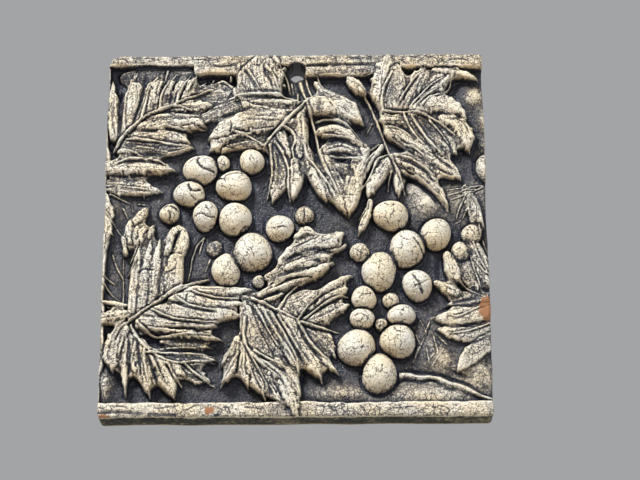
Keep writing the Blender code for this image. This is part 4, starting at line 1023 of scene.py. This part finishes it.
carve(
    tile.crack,
    ([(-31.5, 22.5), (-28.8, 21.4), (-27.3, 23), (-24, 23.8), (-20.5, 24.3)], 0.45, 0.9),
    ([(-28.8, 21.4), (-27.8, 19.4)], 0.3, 0.5),
    ([(-38.2, 31.5), (-39, 29), (-37.8, 26.8), (-35, 25.3), (-31.8, 24.8)], 0.7, 1.4),
    ([(-43.5, 28), (-41, 29.5), (-39.4, 31.4)], 0.3, 0.4),
    ([(-43, 20), (-42.3, 17.6), (-40.5, 16.3), (-37.5, 17.2)], 0.55, 1.1),
    ([(-42, 17), (-41.6, 14.5), (-39.5, 12.8)], 0.35, 0.6),
    ([(-40, 5.8), (-37.5, 6.6), (-34.5, 5.2), (-31.5, 5.4)], 0.4, 0.7),
    ([(-36, 11), (-35, 8.5), (-33.5, 7)], 0.3, 0.4),
    ([(-53, 9.5), (-51, 10.6), (-48.5, 10.1), (-46.3, 8.4)], 0.5, 0.9),
    ([(-50.5, 8.5), (-49.6, 6.3), (-50.3, 4.6)], 0.35, 0.6),
    ([(-22, -0.5), (-20.3, 1.5), (-18.6, 2.2)], 0.4, 0.7),
    ([(-20.3, 1.5), (-19.2, 0.3)], 0.3, 0.4),
    ([(-9.5, 0.8), (-7.8, 0.2), (-5, 1), (-2.6, 0.3)], 0.35, 0.6),
    ([(3.2, 10.5), (3.6, 7), (3, 4.2)], 0.3, 0.5),
    ([(45.5, -18.7), (47, -21), (48.5, -23.3), (49.6, -27.5)], 0.55, 1.1),
    ([(48.5, -23.3), (50.8, -22.2), (52.6, -20.6)], 0.3, 0.5),
    ([(48.5, -23.3), (46.3, -24.3)], 0.25, 0.4),
    ([(46.3, -4), (48.8, -7.5), (50.6, -10.8)], 0.4, 0.7),
    ([(41, -2.2), (42.2, -4.5), (44.5, -5.6)], 0.25, 0.4),
    ([(35, 11), (36.8, 9.3), (39.5, 9.8)], 0.3, 0.4),
    ([(38, -40), (39.2, -42.4), (42.5, -43.2)], 0.3, 0.5),
    ([(22.5, -36), (25.5, -35.2), (28.5, -37)], 0.3, 0.4),
    ([(24, -26.5), (26.5, -27.6), (29.8, -26.8)], 0.25, 0.35),
)
tile.hollow(-36.5, 28.3, 1.7, 2.2, 1.1, ink_and_shade=0.25)
tile.soften()


def antique_and_shade(tile):
    """How much black wash stays after wiping: much in creases and low ground, little on what stands up;
    painted shade adds to it in narrow gaps beside raised shapes.
    """
    depth = np.clip(-tile.h / DEPTH, -0.4, 1)
    crease = np.clip(blurred(tile.h, 0.6) - tile.h, -0.5, 0.5)
    fold = np.clip(blurred(tile.h, 1.8) - tile.h, -1.0, 1.0)
    # Partly wash pooled in low ground, partly painted shade where raised shapes shut out the light.
    low = np.clip(blurred(tile.h, 5) - tile.h, -1.5, 3)
    nick = np.clip(blurred(tile.h, 0.3) - tile.h, -0.2, 0.2)
    return 0.42 + 0.2 * depth + 1.6 * nick + 0.42 * crease + 0.04 * fold + 0.11 * low + 0.45 * tile.ink_and_shade


def underside_painted_shade(tile):
    """Painted shade, yellow-brown: on slopes that face down, under the rims."""
    slope = np.gradient(blurred(tile.h, 1.2), CELL, axis=1)
    return np.clip(0.7 * slope, 0, 1)


def chips(tile):
    """Places where a flake of glaze is gone and the red clay shows."""
    near = np.zeros(tile.x.shape)
    for x, z, half_x, half_z in ((74.5, -33, 3.2, 5.5), (-33, -73.5, 1.9, 1.7), (-73.5, -76, 2.2, 1.4)):
        near = np.maximum(near, 1 - np.hypot((tile.x - x) / half_x, (tile.z - z) / half_z) / 2)
    return near


def outline(u, v):
    """Places on the unit square, -1 to 1, moved to the slab's rounded, hand-cut outline."""
    x = u * WIDTH / 2
    z = v * HEIGHT / 2
    for side_x, side_z in ((-1, 1), (1, 1), (-1, -1), (1, -1)):
        r = WORN_CORNER if (side_x, side_z) == (-1, 1) else CORNER
        a = np.clip((x * side_x - WIDTH / 2 + r) / r, 0, 1)
        b = np.clip((z * side_z - HEIGHT / 2 + r) / r, 0, 1)
        pull_x = side_x * r * a * (1 - np.sqrt(1 - b**2 / 2))
        pull_z = side_z * r * b * (1 - np.sqrt(1 - a**2 / 2))
        x, z = x - pull_x, z - pull_z
    wave_x = EDGE_WAVE * (0.6 * np.sin(5.1 * v + 0.8) + 0.4 * np.sin(13 * v)) * np.abs(u) ** 12
    wave_z = EDGE_WAVE * (0.6 * np.sin(4.3 * u + 2.0) + 0.4 * np.sin(11 * u)) * np.abs(v) ** 12
    return x - np.abs(wave_x) * np.sign(u), z - np.abs(wave_z) * np.sign(v)


def rounded_arris(u, v):
    """How far the face falls away next to the sides."""
    to_side = np.minimum((1 - np.abs(u)) * WIDTH, (1 - np.abs(v)) * HEIGHT) / 2
    short = np.clip(1 - to_side / ARRIS, 0, 1)
    return ARRIS * (1 - np.sqrt(1 - 0.96 * short**2))


def places(mesh):
    """Where the mesh's points are, one row for each."""
    flat = np.empty(len(mesh.vertices) * 3)
    mesh.vertices.foreach_get("co", flat)
    return flat.reshape(-1, 3)


def on_surface(field, x, z):
    """The field's value at each place on the tile, read between its grid points."""
    across = np.clip((x / WIDTH + 0.5) * GRID_CELLS, 0, GRID_CELLS - 1e-6)
    up = np.clip((z / HEIGHT + 0.5) * GRID_CELLS, 0, GRID_CELLS - 1e-6)
    i, j = across.astype(int), up.astype(int)
    a, b = across - i, up - j
    return (
        field[i, j] * (1 - a) * (1 - b)
        + field[i + 1, j] * a * (1 - b)
        + field[i, j + 1] * (1 - a) * b
        + field[i + 1, j + 1] * a * b
    )


def press_clay():
    """The carved face as a grid of heights, thinned where it is smooth."""
    bpy.ops.object.select_all(action="DESELECT")
    bpy.ops.mesh.primitive_grid_add(x_subdivisions=GRID_CELLS, y_subdivisions=GRID_CELLS, size=2)
    slab = bpy.context.object
    slab.name = "relief_slab"
    flat = np.clip(places(slab.data), -1, 1)
    u, v = flat[:, 0], flat[:, 1]
    column = np.rint((u + 1) / 2 * GRID_CELLS).astype(int)
    row = np.rint((v + 1) / 2 * GRID_CELLS).astype(int)
    x, z = outline(u, v)
    y = -(THICK + tile.h[column, row] * MM - rounded_arris(u, v))
    slab.data.vertices.foreach_set("co", np.column_stack([x, y, z]).ravel())
    slab.data.update()
    thin = slab.modifiers.new("thin", "DECIMATE")
    thin.ratio = min(1.0, MOST_TRIANGLES / (2 * GRID_CELLS**2))
    bpy.ops.object.modifier_apply(modifier=thin.name)
    return slab


def close_sides_and_back(slab):
    """Sides straight back from the face's border, and a flat back on the wall."""
    bpy.ops.object.mode_set(mode="EDIT")
    bpy.ops.mesh.select_mode(type="EDGE")
    bpy.ops.mesh.select_all(action="DESELECT")
    bpy.ops.mesh.select_non_manifold()
    bpy.ops.mesh.extrude_edges_move()
    bpy.ops.transform.resize(value=(1, 0, 1), center_override=(0, 0, 0))
    bpy.ops.mesh.edge_face_add()
    bpy.ops.mesh.select_all(action="SELECT")
    bpy.ops.mesh.normals_make_consistent(inside=False)
    bpy.ops.object.mode_set(mode="OBJECT")


def drill_hole(slab):
    """The round nail hole, right through the top bar."""
    bpy.ops.object.select_all(action="DESELECT")
    bpy.ops.mesh.primitive_cylinder_add(
        vertices=64,
        radius=HOLE_RADIUS,
        depth=THICK * 3,
        location=(HOLE_OFFSET, -THICK / 2, HEIGHT / 2 - HOLE_BELOW_TOP),
        rotation=(math.pi / 2, 0, 0),
    )
    punch = bpy.context.object
    bpy.context.view_layer.objects.active = slab
    drill = slab.modifiers.new("drill", "BOOLEAN")
    drill.operation = "DIFFERENCE"
    drill.solver = "EXACT"
    drill.object = punch
    bpy.ops.object.modifier_apply(modifier=drill.name)
    bpy.data.objects.remove(punch, do_unlink=True)


# Sizes of the finish
CRAZE_SIZE = 2.6  # millimetres between hair cracks
CRAZE_WIDTH = 0.07  # of a crack, as a share of that
CRAZE_BEND = 0.9 * MM
CRAZE_BENDS = 900  # to a metre
BACK_SLACK = 0.2 * MM  # what lies nearer to the wall than this is the back


def keep_field(mesh, name, values):
    """Values of the mesh's points, kept where its materials can read them."""
    attribute = mesh.attributes.new(name, "FLOAT", "POINT")
    attribute.data.foreach_set("value", values.astype(np.float32))


def linear(code):
    """An sRGB hex colour as the linear RGBA that shaders take."""
    parts = [int(code[i : i + 2], 16) / 255 for i in (1, 3, 5)]
    return [c / 12.92 if c <= 0.04045 else ((c + 0.055) / 1.055) ** 2.4 for c in parts] + [1.0]


def node(tree, kind, inputs=None, out=0, stops=(), **settings):
    """Adds a node: settings on it, values or other nodes' outputs on its inputs, colours on a ramp."""
    made = tree.nodes.new(kind)
    for name, value in settings.items():
        setattr(made, name, value)
    for key, value in (inputs or {}).items():
        if isinstance(value, bpy.types.NodeSocket):
            tree.links.new(value, made.inputs[key])
        else:
            made.inputs[key].default_value = value
    for i, (place, colour) in enumerate(stops):
        stop = made.color_ramp.elements[i] if i < 2 else made.color_ramp.elements.new(place)
        stop.position = place
        stop.color = linear(colour)
    return made.outputs[out]


def added(tree, total, *patterns):
    """A number or pattern with other patterns added to it, each times its weight."""
    for pattern, weight in patterns:
        total = node(tree, "ShaderNodeMath", {0: pattern, 1: weight, 2: total}, operation="MULTIPLY_ADD")
    return total


def craquelure(tree, place, broken):
    """A net of hair cracks in the glaze, bent, and left out where the broken pattern is low."""
    inputs = {"Vector": place, "Scale": CRAZE_BENDS, "Detail": 2.0}
    shift = node(tree, "ShaderNodeTexNoise", inputs, out="Color")
    inputs = {0: shift, 1: [CRAZE_BEND] * 3, 2: place}
    bent = node(tree, "ShaderNodeVectorMath", inputs, operation="MULTIPLY_ADD")
    inputs = {"Vector": bent, "Scale": 1000 / CRAZE_SIZE}
    to_edge = node(tree, "ShaderNodeTexVoronoi", inputs, feature="DISTANCE_TO_EDGE")
    line = node(tree, "ShaderNodeMapRange", {0: to_edge, 1: 0.0, 2: CRAZE_WIDTH, 3: 1.0, 4: 0.0})
    here = node(tree, "ShaderNodeMapRange", {0: broken, 1: 0.38, 2: 0.55})
    return node(tree, "ShaderNodeMath", {0: line, 1: here}, operation="MULTIPLY")


def new_surface(name, *patches):
    """A new material, its nodes and shader, the place on the tile, and soft random patterns, one for
    each size in millimetres with its detail and roughness."""
    material = bpy.data.materials.new(name)
    material.use_nodes = True
    tree = material.node_tree
    place = node(tree, "ShaderNodeTexCoord", out="Object")
    patterns = []
    for millimetres, detail, rough in patches:
        inputs = {"Vector": place, "Scale": 1000 / millimetres, "Detail": detail, "Roughness": rough}
        patterns.append(node(tree, "ShaderNodeTexNoise", inputs))
    return material, tree, tree.nodes["Principled BSDF"], place, patterns


def finish_surface(tree, shader, colour, grit, strength, depth):
    """Colour on the shader, and the grit that the surface is roughened with."""
    tree.links.new(colour, shader.inputs["Base Color"])
    bump = node(tree, "ShaderNodeBump", {"Strength": strength, "Distance": depth, "Height": grit})
    tree.links.new(bump, shader.inputs["Normal"])


def antiqued_glaze():
    """Matt ivory glaze over red clay, with blue-black oxide washed into the carving and wiped off
    the high places: bright and speckled where wiped, nearly black and a little glossy in the ground;
    painted yellow-brown shade on slopes that face down."""
    sizes = (6.0, 3.0, 0.6), (1.6, 4.0, 0.75), (0.9, 2.0, 0.6), (0.55, 1.0, 0.5)
    sizes += (13.0, 2.0, 0.5), (7.0, 3.0, 0.6)
    material, tree, shader, place, patterns = new_surface("antiqued_glaze", *sizes)
    cloud, streak, speck, dust, drift, broken = patterns
    wash_and_shade, underside_shade, chipped, calm, across, lengthwise = (
        node(tree, "ShaderNodeAttribute", out="Fac", attribute_name=name)
        for name in ("wash_and_shade", "underside_shade", "chipped", "calm", "across", "lengthwise")
    )
    wide = added(tree, 0.0, (across, 1 / GRAIN_WIDTH))
    long = added(tree, 0.0, (lengthwise, 1 / GRAIN_LENGTH))
    grain = node(tree, "ShaderNodeCombineXYZ", {0: wide, 1: long})
    inputs = {"Vector": grain, "Scale": 1.0, "Detail": 2.0, "Roughness": 0.6}
    fibre = node(tree, "ShaderNodeTexNoise", inputs, noise_dimensions="2D")
    pits = node(tree, "ShaderNodeMapRange", {0: speck, 1: 0.6, 2: 0.74, 4: 0.35})
    mottle = added(tree, -1.84, (cloud, 0.5), (streak, 0.75), (dust, 1.7), (fibre, 0.75))
    strength = added(tree, 1.0, (calm, -0.5))
    dark = added(tree, wash_and_shade, (mottle, strength), (craquelure(tree, place, broken), 0.6), (pits, 1.0))
    greys = (0.28, "#DFD6C1"), (0.48, "#968F83"), (0.72, "#4E4B4D")
    glaze = node(tree, "ShaderNodeValToRGB", {0: dark}, stops=((0.08, "#FFF9E6"), (1.0, "#262A38"), *greys))
    warm = node(tree, "ShaderNodeMapRange", {0: drift, 1: 0.38, 2: 0.62})
    underside_shade_share = node(tree, "ShaderNodeMapRange", {0: underside_shade, 1: 0.1, 2: 0.9, 4: 0.5})
    bare = node(tree, "ShaderNodeMapRange", {0: added(tree, streak, (chipped, 1.0)), 1: 1.0, 2: 1.06})
    inputs = {0: warm, 6: linear("#F9FAFF"), 7: linear("#FFF7EA")}
    tint = node(tree, "ShaderNodeMix", inputs, out=2, data_type="RGBA")
    for share, shade, blend in (
        (1.0, tint, "MULTIPLY"),
        # Painted yellow-brown shade on slopes that face down.
        (underside_shade_share, linear("#B08A4C"), "MULTIPLY"),
        (bare, linear("#A9764F"), "MIX"),
    ):
        inputs = {0: share, 6: glaze, 7: shade}
        glaze = node(tree, "ShaderNodeMix", inputs, out=2, data_type="RGBA", blend_type=blend)
    gloss = node(tree, "ShaderNodeMapRange", {0: dark, 1: 0.4, 2: 1.1, 3: 0.62, 4: 0.26})
    tree.links.new(gloss, shader.inputs["Roughness"])
    finish_surface(tree, shader, glaze, added(tree, streak, (dust, 0.5), (fibre, -1.0)), 0.9, 0.4 * MM)
    return material


def stained_side():
    """Unwiped oxide on the raw clay of the edges, brown and streaked, with drips of the ivory
    glaze where it ran over from the face, and a paler line where the tile stood in the kiln."""
    sizes = (9.0, 4.0, 0.65), (1.8, 4.0, 0.7)
    material, tree, shader, place, (cloud, streak) = new_surface("stained_side", *sizes)
    depth = node(tree, "ShaderNodeSeparateXYZ", {0: place}, out="Y")
    mixed = added(tree, -0.15, (cloud, 0.6), (streak, 0.7))
    black_to_buff = (0.4, "#0D0C0A"), (0.68, "#A09372"), (0.48, "#2A271D"), (0.57, "#57503C")
    colour = node(tree, "ShaderNodeValToRGB", {0: mixed}, stops=black_to_buff)
    run = added(tree, 0.0, (depth, -1 / THICK), (streak, 0.35), (cloud, 0.35))
    drip = node(tree, "ShaderNodeMapRange", {0: run, 1: 1.14, 2: 1.24})
    rubbed = node(tree, "ShaderNodeMapRange", {0: run, 1: 0.44, 2: 0.38})
    for share, shade in ((drip, "#D8CDB0"), (rubbed, "#A58F68")):
        inputs = {0: share, 6: colour, 7: linear(shade)}
        colour = node(tree, "ShaderNodeMix", inputs, out=2, data_type="RGBA")
    shader.inputs["Roughness"].default_value = 0.7
    finish_surface(tree, shader, colour, streak, 0.9, 0.4 * MM)
    return material


def bare_clay():
    """The unglazed back: red-buff clay, with pale grog and smears of darker slip."""
    sizes = (28.0, 5.0, 0.6), (1.2, 3.0, 0.7)
    material, tree, shader, _, (smear, grog) = new_surface("bare_clay", *sizes)
    mixed = added(tree, -0.15, (smear, 0.8), (grog, 0.5))
    reds = (0.3, "#8E5A3A"), (0.75, "#D2A57C"), (0.5, "#B57D55")
    clay = node(tree, "ShaderNodeValToRGB", {0: mixed}, stops=reds)
    shader.inputs["Roughness"].default_value = 0.9
    finish_surface(tree, shader, clay, grog, 0.7, 0.3 * MM)
    return material


def dress(slab):
    """Glaze on the face and in the hole (0), stain on the four edges (1), bare clay on the back (2)."""
    slab.data.materials.clear()
    for material in (antiqued_glaze(), stained_side(), bare_clay()):
        slab.data.materials.append(material)
    hole = np.array([HOLE_OFFSET, HEIGHT / 2 - HOLE_BELOW_TOP])
    for face in slab.data.polygons:
        middle = np.array([face.center.x, face.center.z])
        backs = [slab.data.vertices[i].co.y > -BACK_SLACK for i in face.vertices]
        if all(backs):
            face.material_index = 2
        elif any(backs) and np.hypot(*(middle - hole)) > 2 * HOLE_RADIUS:
            face.material_index = 1


slab = press_clay()
close_sides_and_back(slab)
drill_hole(slab)
spots = places(slab.data)
x, z = spots[:, 0], spots[:, 2]
to_hole = np.hypot(x - HOLE_OFFSET, z - HEIGHT / 2 + HOLE_BELOW_TOP)
# The nail hole's wall and rim get the darkest wash: partly wash run into the hole, partly painted shade
# inside it.
in_hole = np.clip(5 - 4 * to_hole / HOLE_RADIUS, 0, 1)
keep_field(slab.data, "wash_and_shade", np.maximum(on_surface(antique_and_shade(tile), x, z), 1.2 * in_hole))
for name, field in (
    ("across", tile.across),
    ("lengthwise", tile.lengthwise),
    ("calm", blurred(tile.calm, 0.4)),
    ("underside_shade", underside_painted_shade(tile)),
    ("chipped", chips(tile)),
):
    keep_field(slab.data, name, on_surface(field, x, z))
dress(slab)
bpy.ops.object.select_all(action="DESELECT")
slab.select_set(True)
bpy.context.view_layer.objects.active = slab
bpy.ops.object.shade_smooth_by_angle(angle=math.radians(60))
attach(slab, "root")
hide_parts("tile")


# The studio
# A pale floor well below the tile, a pale sky and two soft lights, as for a picture
# of the object alone.

FLOOR_DROP = 0.9

bpy.ops.object.select_all(action="DESELECT")
bpy.ops.mesh.primitive_plane_add(size=12, location=(0, 0, TILE_LOW[2] - FLOOR_DROP))
floor = bpy.context.object
floor.name = "studio_floor"
# Matt wall paint, off-white, which gives a soft even ground with no highlight.
paint = bpy.data.materials.new("pale_floor")
paint.use_nodes = True
matt = paint.node_tree.nodes["Principled BSDF"].inputs
matt["Base Color"].default_value = linear("#E4E2DE")
matt["Roughness"].default_value = 0.9
floor.data.materials.append(paint)

world = bpy.data.worlds.new("pale_sky")
world.use_nodes = True
sky = world.node_tree.nodes["Background"]
sky.inputs["Color"].default_value = linear("#E9EAEC")
sky.inputs["Strength"].default_value = 0.45
bpy.context.scene.world = world
bpy.context.scene.view_settings.view_transform = "Standard"


def soft_light(name, place, side, watts):
    """A square lamp that faces the tile."""
    bpy.ops.object.light_add(type="AREA", location=place)
    lamp = bpy.context.object
    lamp.name = name
    lamp.data.size = side
    lamp.data.energy = watts
    lamp.rotation_euler = (Vector((0, 0, 0)) - Vector(place)).to_track_quat("-Z", "Y").to_euler()


soft_light("key", (-0.5, -0.75, 0.8), 0.3, 15)
soft_light("fill", (0.9, -1.1, -0.2), 0.9, 4)

# The camera
# It looks slightly up at the hung tile, as the photograph looks down on the laid one.

eye = bpy.data.cameras.new("camera")
eye.sensor_width = 36
eye.lens = 111.1
camera = bpy.data.objects.new("camera", eye)
camera.location = (0.01534, -0.74393, -0.26955)
camera.rotation_euler = [math.radians(a) for a in (109.931, 0.2269, 0.527)]
bpy.context.scene.collection.objects.link(camera)
bpy.context.scene.camera = camera
